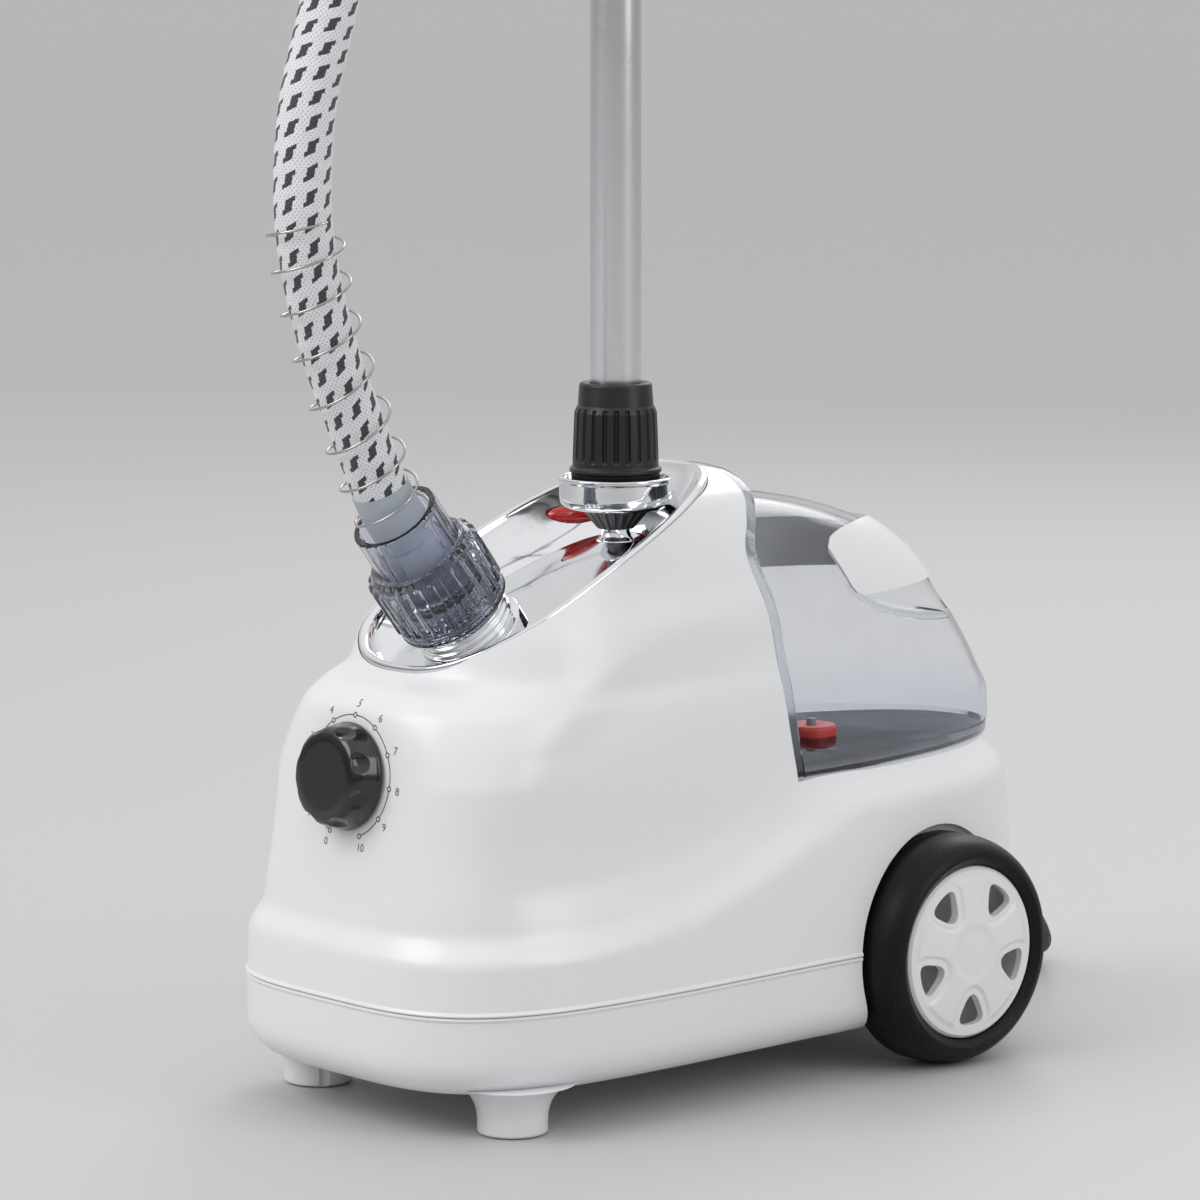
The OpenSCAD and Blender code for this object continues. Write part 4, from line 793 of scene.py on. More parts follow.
housing = stacked("upper_housing_shell", [body_ring(z, lip(z)) for z in heights])
cut(housing, behind("tank_side", 0.0, 156.0))
cut(housing, stacked("dish_opening", [rim_ring(-0.3, -40), rim_ring(-0.3, 0.2), rim_ring(-0.9, 0.5),
                                                      rim_ring(-9, 3.2), rim_ring(-9, 90)]))
for side in (-1, 1):
    cut(housing, drum("well", at_wheel(side), well_r, wheel_in - 4, 200, 160))
knob_place = spot(0, -206, 172.5) @ turn("X", 83)
cut(housing, drum("inlet", spot(0, 109, 0), 25.0, 126, 190, 64))
cut(housing, drum("switch_bush", knob_place, 5.3, -12, 12, 32))
finished(housing, shell_white, "base", ["upper_housing"], angle=28)


# ---- Dial print ----
# Pad-printed on the nose round the knob: a thin grey ring with eleven open dots and the steps 0 to 10.
# The ink is modelled as a film that lies on the housing.
ink_solid = BVHTree.FromObject(housing, bpy.context.evaluated_depsgraph_get())
knob_axis = np.array(knob_place)[:3, 2]
ink_lift = 0.12


def inked(points):
    """Points of the knob's own plane, moved along its axis on to the housing."""
    laid = []
    for x, y in points:
        p = knob_place @ Vector((x, y, 30))
        hit = ink_solid.ray_cast(p * MM, Vector(-knob_axis))
        laid.append(np.array(hit[0]) / MM + ink_lift * knob_axis)
    return laid


def ring_band(centre, r1, r2, angles):
    """A flat band between two radii round a centre, through angles in degrees."""
    flat = [(centre[0] + r * math.cos(t), centre[1] + r * math.sin(t))
            for t in np.radians(angles) for r in (r1, r2)]
    return inked(flat), [(2 * i, 2 * i + 1, 2 * i + 3, 2 * i + 2) for i in range(len(angles) - 1)]


def digit_mesh(text, centre, tall):
    """A number as a flat filled outline of the given height, centred on a point."""
    glyph = bpy.data.curves.new("digit", "FONT")
    glyph.body, glyph.size, glyph.align_x, glyph.align_y = text, tall * 1.38, "CENTER", "CENTER"
    glyph.resolution_u = 4
    holder = linked("digit", glyph)
    mesh = baked(holder)
    bpy.data.objects.remove(holder)
    points = [(v.co.x, v.co.y) for v in mesh.vertices]
    mid = (np.min(points, 0) + np.max(points, 0)) / 2
    flat = [(x - mid[0] + centre[0], y - mid[1] + centre[1]) for x, y in points]
    return inked(flat), [tuple(p.vertices) for p in mesh.polygons]


steps, step_turn, ring_r, name_r = 11, 31.6, 30.5, 36.4
first_turn = 270 - (360 - 10 * step_turn) / 2
trim = math.degrees(1.42 / ring_r)
ink_points, ink_faces, pieces_of_ink = [], [], []
for k in range(steps):
    here = first_turn - step_turn * k
    a = math.radians(here)
    dot = (ring_r * math.cos(a), ring_r * math.sin(a))
    pieces_of_ink.append(ring_band(dot, 0.85, 1.45, np.linspace(0, 360, 21)))
    if k < steps - 1:
        arc = np.linspace(here - trim, here - step_turn + trim, 9)
        pieces_of_ink.append(ring_band((0, 0), ring_r - 0.27, ring_r + 0.27, arc))
    pieces_of_ink.append(digit_mesh(str(k), (name_r * math.cos(a), name_r * math.sin(a)), 4.0))
for points, faces in pieces_of_ink:
    start = len(ink_points)
    ink_points += points
    ink_faces += [tuple(i + start for i in f) for f in faces]
dial = shape("dial_print", ink_points, ink_faces, mend=False)
ink = finish("dial_ink", (0.085, 0.09, 0.10), 0.45, grain=(0.4, 0.01), smear=(6, 0.1), dust=0.0)
dial.data.materials.append(ink)
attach(dial, "base")


# ---- Control knob ----
# A glossy black knob: round foot and a crown with eight finger scoops, pressed on the switch's shaft.
knob_shape = [(0, 1), (27, 1), (27, 3), (26.4, 4.4), (24.6, 13), (23.6, 15.2), (21.6, 16.6), (18, 17), (0, 17)]
knob = lathe("dial_knob", rounded(knob_shape, 1.2), knob_place, 120)
for k in range(8):
    a = 2 * math.pi * (k + 0.5) / 8
    ball = [(10 * math.cos(b), 10 * math.sin(b)) for b in np.radians(np.linspace(-90, 90, 25))]
    ball[0], ball[-1] = (0, -10), (0, 10)
    place = knob_place @ spot(31.6 * math.cos(a), 31.6 * math.sin(a), 16)
    cut(knob, lathe("scoop", ball, place, 48, closed=False))


def softened(obj, voxel, rounds):
    """Remeshes a shape evenly and eases its edges, as a moulding tool does."""
    grid = obj.modifiers.new("even", "REMESH")
    grid.mode, grid.voxel_size = "VOXEL", voxel * MM
    ease_edges = obj.modifiers.new("eased", "SMOOTH")
    ease_edges.factor, ease_edges.iterations = 0.5, rounds
    return settled(obj)


softened(knob, 0.4, 4)
knob_black = finish("knob_gloss", (0.008, 0.008, 0.010), 0.15, grain=(3, 0.01), smear=(10, 0.16), dust=0.10,
                    rubbed=((0.05, 0.05, 0.055), 0.3), Coat_Weight=0.4, Coat_Roughness=0.06)
finished(knob, knob_black, "knob", ["control_knob"], angle=60)


# ---- Metal dish ----
# Deep-drawn steel dish, chrome plated, with a rolled rim that sits in the housing's opening. It carries
# the outlet, the pole's stud and the lamp.
dish_slope = 0.405


def floor_height(y):
    return 273 + dish_slope * (y - pole_y)


def under_slope(y, z):
    """A block whose top lies on the dish's sloping floor, through (y, z)."""
    block = prism("slope", [(-60, -60), (60, -60), (60, 60), (-60, 60)], -60, 0)
    return moved(block, spot(0, y, z) @ Matrix.Rotation(math.atan(dish_slope), 4, "X"))


def floor_ring(k, drop):
    ring = []
    for i in range(dish_points):
        t = 2 * math.pi * (i + 0.5) / dish_points
        e = 2 / 2.4
        x, y = k * 38 * power(math.cos(t), e), -92 + k * 74 * power(math.sin(t), e)
        ring.append((x, y, floor_height(y) - drop))
    return np.array(ring)


def wall_ring(u, drop=0.0):
    ring = (1 - u) * rim_ring(6, -3) + u * floor_ring(1, 0)
    ring[:, 2] -= drop + 3 * math.sin(math.pi * u)
    return ring


rings = [floor_ring(0.02, 2), floor_ring(0.5, 2), floor_ring(1.02, 2), wall_ring(0.5, 3), rim_ring(4, -6),
         rim_ring(0.5, -6), rim_ring(0, -5), rim_ring(0, 0.0)]
for a in np.radians(np.linspace(15, 165, 10)):
    rings.append(rim_ring(2.4 - 2.4 * math.cos(a), 0.1 + 1.7 * math.sin(a)))
rings.append(rim_ring(5.0, -0.5))
rings += [wall_ring(u) for u in np.concatenate([np.linspace(0, 0.9, 15), [0.94, 0.97, 0.99]])]
rings += [floor_ring(k, 0) for k in (1.0, 0.985, 0.96, 0.9, 0.7, 0.45, 0.2, 0.02)]
dish = stacked("metal_dish", rings)
softer = dish.modifiers.new("drawn", "SMOOTH")
softer.factor, softer.iterations = 0.5, 2
settled(dish)
lamp_place = spot(-36.5, -25.8, 284.3) @ turn("Z", -42) @ turn("Y", 55)
lamp_slot = drum("lamp_slot", Matrix.Identity(4), 10, -20, 20, 64)
lamp_slot.data.transform(Matrix.Scale(0.53, 4, (1, 0, 0)) @ Matrix.Scale(1.48, 4, (0, 1, 0)))
cut(dish, moved(lamp_slot, lamp_place))
dish_chrome = finish("dish_plating", (0.80, 0.81, 0.83), 0.045, 1.0, grain=(14, 0.03), smear=(32, 0.08), dust=0.08)
finished(dish, dish_chrome, "base", ["dish"], angle=40)


# ---- Indicator lens ----
# A red polycarbonate dome, long along the dish, snapped into a slot in its left wall over the neon.
dome_rows, dome_turns = 24, 56
points, faces = [], []
for i in range(dome_rows + 1):
    a = math.pi * i / dome_rows
    for k in range(dome_turns):
        b = 2 * math.pi * k / dome_turns
        rib = 1 + 0.012 * math.cos(8 * a)
        points.append((5 * rib * math.sin(a) * math.cos(b), 14.5 * math.sin(a) * math.sin(b), 3.5 * math.cos(a)))
for i in range(dome_rows):
    for k in range(dome_turns):
        j = (k + 1) % dome_turns
        faces.append((i * dome_turns + k, (i + 1) * dome_turns + k, (i + 1) * dome_turns + j, i * dome_turns + j))
at = np.array(lamp_place)
lens_piece = shape("lamp_dome", np.array(points) @ at[:3, :3].T + at[:3, 3], faces)
red = finish("red_dome", (0.62, 0.004, 0.004), 0.10, grain=(3, 0.02), smear=(8, 0.1), dust=0.08,
             Transmission_Weight=0.25, Coat_Weight=0.5)
finished(lens_piece, red, "base", ["lamp_lens"], angle=60)


# ---- Pole socket ----
# A chrome cup on a stem that is screwed to the stud in the dish. A ribbed black cone hides the stem's
# top, and the split collet inside the cup grips the tube.
def filled(profile, step):
    """An open outline with extra points, none further apart than step."""
    out = [profile[0]]
    for a, b in zip(profile, profile[1:]):
        n = max(int(math.hypot(b[0] - a[0], b[1] - a[1]) / step), 1)
        out += [(a[0] + (b[0] - a[0]) * i / n, a[1] + (b[1] - a[1]) * i / n) for i in range(1, n + 1)]
    return out


at_pole = spot(0, pole_y, 0)
cup_z = 291.5
cup_shape = [(5.1, 274.6), (10, 274.6), (10, 275.2), (8.1, 277), (7.3, 279.5), (7.3, cup_z), (24.5, cup_z),
             (28, cup_z + 2), (28.9, cup_z + 6), (28.9, cup_z + 13.5), (29.5, cup_z + 14.5), (29.5, cup_z + 15.9),
             (28.7, cup_z + 16.5), (27.1, cup_z + 16.5), (26.5, cup_z + 5), (24, cup_z + 2.5), (5.1, cup_z + 2.5)]
cup = lathe("pole_socket", rounded(cup_shape, 1.6, 4), at_pole, 128)
cut(cup, under_slope(pole_y, 273.3))
finished(cup, chrome, "base", ["pole_cup"], angle=40)


def ribs_on_cone(r, z, a):
    if r > 8.3:
        r += 0.75 * ease(1.6 - abs(((a * 20 / (2 * math.pi)) % 1) - 0.5) * 5.2) * ease((r - 8.3) * 2)
    return r, z


cone_shape = filled([(7.35, 281.1), (8.6, 281.1), (17.0, 291.2), (17.0, 291.4), (7.35, 291.4)], 1.2)
cone = lathe("socket_cone_ribbed", cone_shape, at_pole, 240, relief=ribs_on_cone)
plastic_black = finish("black_moulding", (0.010, 0.010, 0.012), 0.36, grain=(0.9, 0.04), smear=(12, 0.15),
                       rubbed=((0.075, 0.075, 0.08), 0.6), dust=0.22)
finished(cone, plastic_black, "base", ["socket_cone"], angle=50)


# ---- Lock nut ----
# Black glass-filled nylon nut with 22 fine flutes and a plain collar. It screws down on the collet and
# grips the pole.
nut_z = 306.0


def fluted(r, z, a):
    if r > 18.6 and nut_z + 8.6 < z < nut_z + 37:
        groove = ease(1.5 - abs(((a * 22 / (2 * math.pi)) % 1) - 0.5) * 6.5)
        r -= 1.5 * groove * ease((z - nut_z - 9.5) / 2.0)
    return r, z


wall = filled([(22.0, nut_z + 8.6), (21.5, nut_z + 24), (21.0, nut_z + 35), (19.8, nut_z + 37.8)], 0.9)
nut_shape = [(16.6, nut_z), (22.6, nut_z), (22.6, nut_z + 4), (23.5, nut_z + 4.4), (23.5, nut_z + 6.4),
             (22.0, nut_z + 7)] + wall + [(19.3, nut_z + 38.4), (18.6, nut_z + 49), (17.8, nut_z + 50),
                                          (13.5, nut_z + 50), (13.5, nut_z + 41), (16.6, nut_z + 37)]
nut = lathe("pole_nut_fluted", rounded(nut_shape, 0.7, 2), at_pole, 22 * 18, relief=fluted)
finished(nut, plastic_black, "pole_nut", ["pole_lock_nut"], angle=50)


# ---- Telescopic pole ----
# Two satin-anodised aluminium tubes, 26 and 22 mm across, brushed along their length, with cut ends
# eased. The upper one slides in the lower one on a plastic bush.
def brushed(name, colour, rough):
    """Metal with fine lines along the tube, and a soft band where hands polish it."""
    made, tree, shader = outcome(name)
    drawn = tap(tree, "ShaderNodeMapping", [("Vector", local(tree)), ("Scale", (1.0, 1.0, 0.006))])
    lines = noise(drawn, 2600.0, 3.0)
    rough_here = lines.by("MULTIPLY_ADD", 0.12, rough)
    plug_in(shader, Metallic=1.0, Base_Color=blended(lines, colour, tuple(c * 0.86 for c in colour)),
            Roughness=effect(tree, "marks", 42.0).by("MULTIPLY_ADD", -0.05, rough_here),
            Normal=bump(lines, 0.35, 0.00004))
    return made


tube_metal = brushed("brushed_tube", (0.74, 0.75, 0.77), 0.26)
lower_foot, lower_end, upper_z, upper_top, bush_r, bush_top = 294.05, 840.05, 740.0, 1440.0, 11.95, 764.0
lower_wall = [(12, lower_foot), (13, lower_foot), (13, lower_end), (12, lower_end)]
upper_wall = [(10, upper_z), (bush_r, upper_z), (bush_r, bush_top), (11, bush_top), (11, upper_top),
              (10, upper_top)]
for name, node, body, outline in (("tube_lower", "pole_lower", "base", lower_wall),
                                  ("tube_upper", "pole_upper", "upper_pole", upper_wall)):
    finished(lathe(name, rounded(outline, 0.3, 2), at_pole, 128), tube_metal, body, [node], angle=40)


# ---- Steam outlet and hose fitting ----
# A chrome threaded outlet leans forwards out of the dish. A smoky clear nut with deep ribs draws the
# clear violet collar and the grey cuff of the hose down on to a flat seal.
at_port = spot(0, port_y, port_z) @ turn("X", 38)


thread_r, nut_r, collar_r, collar_t = 25.3, 30.5, 22.8, 3.5
collar_z, collar_top, nut_from, nut_high = 38.0, 82.0, 20.0, 39.0
thread_shape = [(7, -8), (thread_r + 3, -8), (thread_r + 3, 4), (thread_r - 1.2, 4.6)]
for k in range(7):
    thread_shape += [(thread_r - 1.2, 6 + 4 * k), (thread_r, 7.1 + 4 * k), (thread_r, 7.9 + 4 * k),
                     (thread_r - 1.2, 9 + 4 * k)]
thread_shape += [(thread_r - 1.2, 36), (7, 36)]
outlet = lathe("outlet_thread", rounded(thread_shape, 0.8), at_port, 112)
cut(outlet, under_slope(port_y, port_z + 0.3))
finished(outlet, chrome, "base", ["steam_outlet"], angle=40)


def clear_plastic(name, tint, rough, deep, shadow=0.25, ior=1.46, foot=None):
    """Clear moulded plastic with flow marks. It is deep in colour where it is seen edge on, and where foot,
    as (low, high, colour), says."""
    made, tree, shader = outcome(name)
    marks = effect(tree, "marks", 20.0)
    paint = blended(marks, tint, tuple(c * 0.97 for c in tint))
    if foot:
        above = split(local(tree))[2]
        paint = blended(steps_of(above, foot[0] * MM, foot[1] * MM, 1.0, 0.0), paint, foot[2])
    facing = tap(tree, "ShaderNodeLayerWeight", [("Blend", 0.5)], out="Facing")
    paint = blended(steps_of(facing, 0.72, 0.97, 0.0, 0.85), paint, deep)
    shaded = tap(tree, "ShaderNodeLightPath", out="Is Shadow Ray")
    plug_in(shader, IOR=ior, Transmission_Weight=1.0,
            Base_Color=blended(effect(tree, "dust", 0.25), paint, (0.7, 0.7, 0.7)),
            Roughness=marks.by("MULTIPLY_ADD", 0.05, rough),
            Normal=bump(effect(tree, "grain", 16.0), 0.25, 0.0001),
            Alpha=steps_of(shaded, 0.0, 1.0, 1.0, shadow, False))
    return made


def deep_ribs(r, z, a):
    if r > nut_r - 3.2 and nut_from + 4 < z < nut_from + nut_high - 2:
        raised = ease(2.2 - abs(((a * 24 / (2 * math.pi)) % 1) - 0.5) * 6.4)
        ends = ease((z - nut_from - 5) / 2.5) * ease((nut_from + nut_high - 3 - z) / 2.5)
        r += 2.4 * raised * ends
    return r, z


bore = thread_r + 0.4
skirt_wall = filled([(nut_r - 2.5, nut_from + 2.4), (nut_r - 2.3, nut_from + nut_high - 7),
                     (nut_r - 2.9, nut_from + nut_high - 3), (nut_r - 4.4, nut_from + nut_high - 0.4)], 0.9)
cap_shape = [(bore, nut_from), (nut_r - 1.4, nut_from), (nut_r - 1.0, nut_from + 0.8),
             (nut_r - 1.2, nut_from + 2.2)]
cap_shape += skirt_wall + [(nut_r - 5.2, nut_from + nut_high), (collar_r + 0.4, nut_from + nut_high),
                           (collar_r + 0.4, collar_z + 4.7), (bore, collar_z + 3.4)]
hose_nut = lathe("hose_nut_ribbed", rounded(cap_shape, 0.5, 2), at_port, 24 * 16, relief=deep_ribs)
smoky = clear_plastic("smoky_clear", (0.45, 0.46, 0.53), 0.04, (0.10, 0.10, 0.17))
finished(hose_nut, smoky, "hose_nut", ["hose_nut"], angle=50)


def inner_ribs(r, z, a):
    if r < collar_r - collar_t + 0.2 and z < collar_top - 3:
        r += 0.35 * ease(abs(((a * 20 / (2 * math.pi)) % 1) - 0.5) * 9 - 0.6)
    return r, z


collar_shape = filled([(collar_r - collar_t, collar_z), (thread_r - 0.2, collar_z), (thread_r - 0.2, collar_z + 3),
                       (collar_r, collar_z + 4), (collar_r, collar_top), (collar_r - 0.6, collar_top + 0.6),
                       (collar_r - collar_t + 0.4, collar_top + 0.6), (collar_r - collar_t, collar_top),
                       (collar_r - collar_t, collar_z)], 4)[:-1]
collar = lathe("hose_collar_clear", rounded(collar_shape, 0.5, 2), at_port, 240, relief=inner_ribs)
violet = clear_plastic("violet_clear", (0.85, 0.86, 0.95), 0.03, (0.30, 0.27, 0.62))
finished(collar, violet, "base", ["hose_collar"], angle=40)
cuff_shape = [(7, collar_z), (collar_r - collar_t - 0.1, collar_z), (collar_r - collar_t - 0.1, collar_z + 8),
              (hose_r + 1.4, collar_z + 12), (hose_r + 0.9, cuff_top - 3), (hose_r + 0.2, cuff_top), (7, cuff_top)]
cuff = lathe("hose_cuff_grey", rounded(cuff_shape, 1.2), at_port, 96)
mouth = shape("cuff_mouth", *tube(hose_line[:13], hose_r + 1.1 - np.linspace(0, 0.8, 13) ** 3, 72)[:2])
cuff = joined("hose_cuff_grey", cuff, mouth)
cuff_grey = finish("grey_cuff", (0.40, 0.44, 0.50), 0.38, grain=(1.2, 0.03), smear=(14, 0.12), dust=0.1)
finished(cuff, cuff_grey, "base", ["hose_cuff"], angle=40)
seal = lathe("flat_seal", rounded([(8, 36.2), (24.7, 36.2), (24.7, 37.8), (8, 37.8)], 0.4), at_port, 72)
rubber = finish("dark_rubber", (0.022, 0.022, 0.026), 0.6, grain=(0.5, 0.06), smear=(12, 0.1), dust=0.3)
finished(seal, rubber, "base", ["hose_seal"])


# ---- Water tank ----
# Blow-moulded clear tank that carries the housing's rounded back on: a thicker tinted band along the
# joint, a foot flange on the shelf and a finger scoop in its tail. It lifts off upwards and backwards.
def tank_ring(z, grow=0.0, at_z=None):
    tail, wide = flowing(TANK[:, 0], TANK[:, 1], z), flowing(TANK[:, 0], TANK[:, 2], z)
    ring = section(wide, wide, -40, min(tail, 224), 2.2, 2.1)
    level = (z if at_z is None else at_z) + grow * float(ease((z - 215) / 70))
    return np.stack([ring[:, 0] + grow * ring[:, 2], ring[:, 1] + grow * ring[:, 3],
                     np.full(len(ring), level)], 1)


tank_heights = np.concatenate([np.linspace(162, 214, 22), np.linspace(218, 274, 22),
                               np.linspace(276, 292, 12), [293, 294, 295, 295.8, 296.4, 297]])
tank_bottom, flange_h, tank_wall = 156.3, 8.5, 2.5


def tank_skin(name, grow, low):
    return stacked(name, [tank_ring(157, grow, low)] + [tank_ring(z, grow) for z in tank_heights if z > low + 2])


def scoop(grow):
    ball = [((28 + grow) * math.cos(b), (20 + grow) * math.sin(b)) for b in np.radians(np.linspace(-90, 90, 33))]
    ball[0], ball[-1] = (0, -20 - grow), (0, 20 + grow)
    made = lathe("scoop", ball, spot(0, 188.3, 236.2), 72, closed=False)
    made.data.transform(Matrix.Scale((46 + grow) / (28 + grow), 4, (1, 0, 0)))
    return made


clear = clear_plastic("clear_tank", (0.955, 0.965, 0.98), 0.02, (0.34, 0.35, 0.46), shadow=0.05, ior=1.12,
                      foot=(160, 196, (0.84, 0.87, 0.94)))
tinted = clear_plastic("thick_clear", (0.70, 0.73, 0.82), 0.12, (0.42, 0.43, 0.58), shadow=0.2)
inset, seam_gap, band_deep = 0.62, 0.3, 6.45
tank = tank_skin("tank_shell", -inset, tank_bottom)
tank.data.materials.append(clear)
tank.data.materials.append(tinted)
carve(tank, "INTERSECT", behind("rear_half", seam_gap, tank_bottom))
band = stacked("seam_band", [body_ring(z) for z in heights])
band.data.materials.append(tinted)
carve(band, "INTERSECT", behind("band_front", seam_gap, tank_bottom + 1.1))
cut(band, behind("band_back", seam_gap + band_deep, 0))
carve(tank, "UNION", band)
flange_rings = [tank_ring(157, g, z) for z, g in ((tank_bottom, 0.0), (tank_bottom + 1, 0.35), (163.2, 0.35),
                                                  (164.4, 0.1), (tank_bottom + flange_h, -0.55))]
flange = stacked("foot_flange", flange_rings)
flange.data.materials.append(tinted)
carve(flange, "INTERSECT", behind("flange_front", seam_gap, tank_bottom))
carve(tank, "UNION", flange)
hollow_part = tank_skin("tank_hollow", -tank_wall - inset, tank_bottom + tank_wall)
carve(hollow_part, "INTERSECT", behind("hollow_front", seam_gap + tank_wall, tank_bottom + tank_wall))
cut(hollow_part, scoop(tank_wall))
cut(tank, hollow_part)
cut(tank, scoop(0))
valve_y, valve_r = 109.0, 16.0
cut(tank, drum("valve_hole", spot(0, valve_y, 0), valve_r - 2.7, 150, 172, 64))
finished(tank, clear, "tank", ["water_tank"], angle=30)


# ---- Tank handle ----
# A white U-shaped band welded round the tank's tail above the finger scoop, to lift the tank by.
plan = [(x, 140 - 0.025 * x * x) for x in range(0, 49, 3)] + [(53, 71), (57, 66), (100, 60), (100, 240), (0, 240)]
plan += [(-x, y) for x, y in plan[-2:0:-1]]
handle = tank_skin("tail_band", 1.5, tank_bottom)
cut(handle, tank_skin("tail_band_inside", -0.2, tank_bottom - 2))
carve(handle, "INTERSECT", prism("band_plan", plan, 225, 320))
side_view = [(60, 310), (66, 268), (69, 261), (75, 248), (78, 244.6), (84, 243), (230, 243), (230, 310)]
carve(handle, "INTERSECT", prism("band_side", side_view, -200, 200, "yzx"))
finished(handle, shell_white, "tank", ["tank_handle"], angle=30)


# ---- Tank valve ----
# Red cap in the tank's floor with a sprung plunger; the cup in the housing pushes it open when the tank
# is set down.
valve_place = spot(0, valve_y, 0)
cap_outline = [(3, 150), (10.5, 150), (10.5, 158.6), (10.5, 158.9), (valve_r - 2.5, 158.9), (valve_r - 2.5, 163.4),
               (valve_r - 3.5, 164.8), (3, 164.8), (3, 162), (8.5, 162), (8.5, 151), (3, 151)]
valve_cap = lathe("valve_cap", rounded(cap_outline, 0.6), valve_place, 72)
valve_red = finish("valve_red", (0.52, 0.045, 0.04), 0.32, grain=(1.0, 0.03), smear=(8, 0.15), dust=0.05)
finished(valve_cap, valve_red, "tank", ["tank_valve_cap"])


# ---- Wheels ----
# Soft black tyres on white spoked hubs, each closed by a white cap with five windows and a raised star
# of creases. They spin freely on a steel axle under the tank.
windows, rim_seat, tyre_r, tyre_w, cap_r = 5, 45.3, 60.0, 36.0, 44.7
window = [(22.5, -1.8), (25, -4.4), (33, -8.4), (36.4, -7.6), (37.6, -4.4), (38, 0), (37.6, 4.4), (36.4, 7.6),
          (33, 8.4), (25, 4.4), (22.5, 1.8), (21.8, 0)]


def outline_of(points, per):
    """A smooth closed outline through the points."""
    ring = [(0, *p) for p in points]
    line = spline(ring[-3:] + ring + ring[:3], per)[3 * per:-3 * per + 1]
    return [(p[1], p[2]) for p in line[:-1]]


window_line = outline_of(window, 5)
edge_a = np.array(window_line)
edge_b = np.roll(edge_a, -1, 0)


def creased(r, z, a):
    """The cap's front: a soft crease round the inner side of each window, and a star between them."""
    if z > tyre_w - 3.9 and r < 41:
        step = 2 * math.pi / windows
        turned = (a + step / 2) % step - step / 2
        p = np.array((r * math.cos(turned), r * math.sin(turned)))
        along = np.clip(((p - edge_a) * (edge_b - edge_a)).sum(1) / ((edge_b - edge_a) ** 2).sum(1), 0, 1)
        far = np.sqrt(((edge_a + (edge_b - edge_a) * along[:, None] - p) ** 2).sum(1).min())
        star = ease((far - 3.4) / 1.6) * ease((r - 11) / 5) * ease((40.5 - r) / 3)
        z += 0.9 * star - 0.35 * math.exp(-((far - 2.9) / 0.8) ** 2) * ease((40 - r) / 4)
    return r, z


tyre_black = finish("tyre_satin", (0.006, 0.006, 0.007), 0.40, grain=(0.7, 0.012), smear=(26, 0.08), dust=0.05,
                    rubbed=((0.03, 0.03, 0.03), 0.25), Specular_IOR_Level=0.2)
cap_face = [(cap_r - 1, tyre_w - 6.9), (cap_r, tyre_w - 6), (cap_r, tyre_w - 4.4), (cap_r - 1.4, tyre_w - 3),
            (cap_r - 3, tyre_w - 2.9)]
cap_face += filled([(cap_r - 3.2, tyre_w - 2.88), (14, tyre_w - 1), (8, tyre_w - 0.6), (0.2, tyre_w - 0.5)],
                   0.7)
cap_back = [(0.2, tyre_w - 6.5), (cap_r - 9, tyre_w - 6.5)]
for side, which in ((1, "right"), (-1, "left")):
    place = at_wheel(side, wheel_in) @ turn("Z", 0 if side > 0 else 180)
    arc = np.radians(np.linspace(0, 90, 9))
    t = tyre_r - rim_seat
    tread = [(tyre_r - 5 + 5 * math.sin(a), 5 * (1 - math.cos(a))) for a in arc]
    tread += [(tyre_r + 0.02, 7.0), (tyre_r - 0.5, 7.5), (tyre_r - 0.5, 8.1), (tyre_r, 8.6)]
    crown_of = [(tyre_r - 0.7 * t * (1 - math.cos(a)), tyre_w - 20 + 19.4 * math.sin(a)) for a in arc]
    edge = [(rim_seat + 2, tyre_w - 2.4), (rim_seat + 0.9, tyre_w - 3.6), (rim_seat, tyre_w - 5)]
    tyre = lathe("tyre_" + which, [(rim_seat, 3), (tyre_r - 6.5, 1.2)] + tread + crown_of + edge, place, 160)
    finished(tyre, tyre_black, "wheel_" + which, ["tyre_" + which], angle=45)
    hub_outline = [(4.1, 3), (12, 3), (12, 12), (rim_seat - 3, 14), (rim_seat - 3, 4), (rim_seat - 0.05, 4),
                   (rim_seat - 0.05, tyre_w - 7), (rim_seat - 3, tyre_w - 7), (rim_seat - 3, 17), (12, 15),
                   (12, tyre_w - 14.5), (4.1, tyre_w - 14.5)]
    hub = lathe("hub_" + which, rounded(hub_outline, 0.8), place, 96)
    finished(hub, shell_white, "wheel_" + which, ["wheel_hub_" + which], angle=45)
    cap = lathe("cap_" + which, cap_back + cap_face, place, 300, relief=creased)
    for k in range(windows):
        cutter = prism("window", window_line, tyre_w - 9, tyre_w + 3)
        cut(cap, moved(cutter, place @ turn("Z", 360 * k / windows)))
    finished(cap, shell_white, "wheel_" + which, ["hub_cap_" + which], angle=38)


# ---- Turned and cut hardware ----
# Parts whose real edges are plain: each keeps its own faces and gets the small edge break of its
# moulding or machining.
def eased(name, node, body, material, radius, smooth=40):
    """A piece on a node's own faces, with its sharp edges rounded to a radius in mm."""
    source = nodes[node]
    mesh = source.data.copy()
    mesh.transform(source.matrix_world)
    mesh.materials.clear()
    work = bmesh.new()
    work.from_mesh(mesh)
    bmesh.ops.remove_doubles(work, verts=work.verts, dist=2e-6)
    bmesh.ops.dissolve_limit(work, angle_limit=math.radians(1), verts=work.verts, edges=work.edges)
    work.to_mesh(mesh)
    work.free()
    made = linked(name, mesh)
    if radius:
        edge = made.modifiers.new("edge", "BEVEL")
        edge.width, edge.segments, edge.limit_method = radius * MM, 2, "ANGLE"
        edge.angle_limit, edge.use_clamp_overlap = math.radians(smooth), True
        settled(made)
    return finished(made, material, body, [node], angle=smooth)


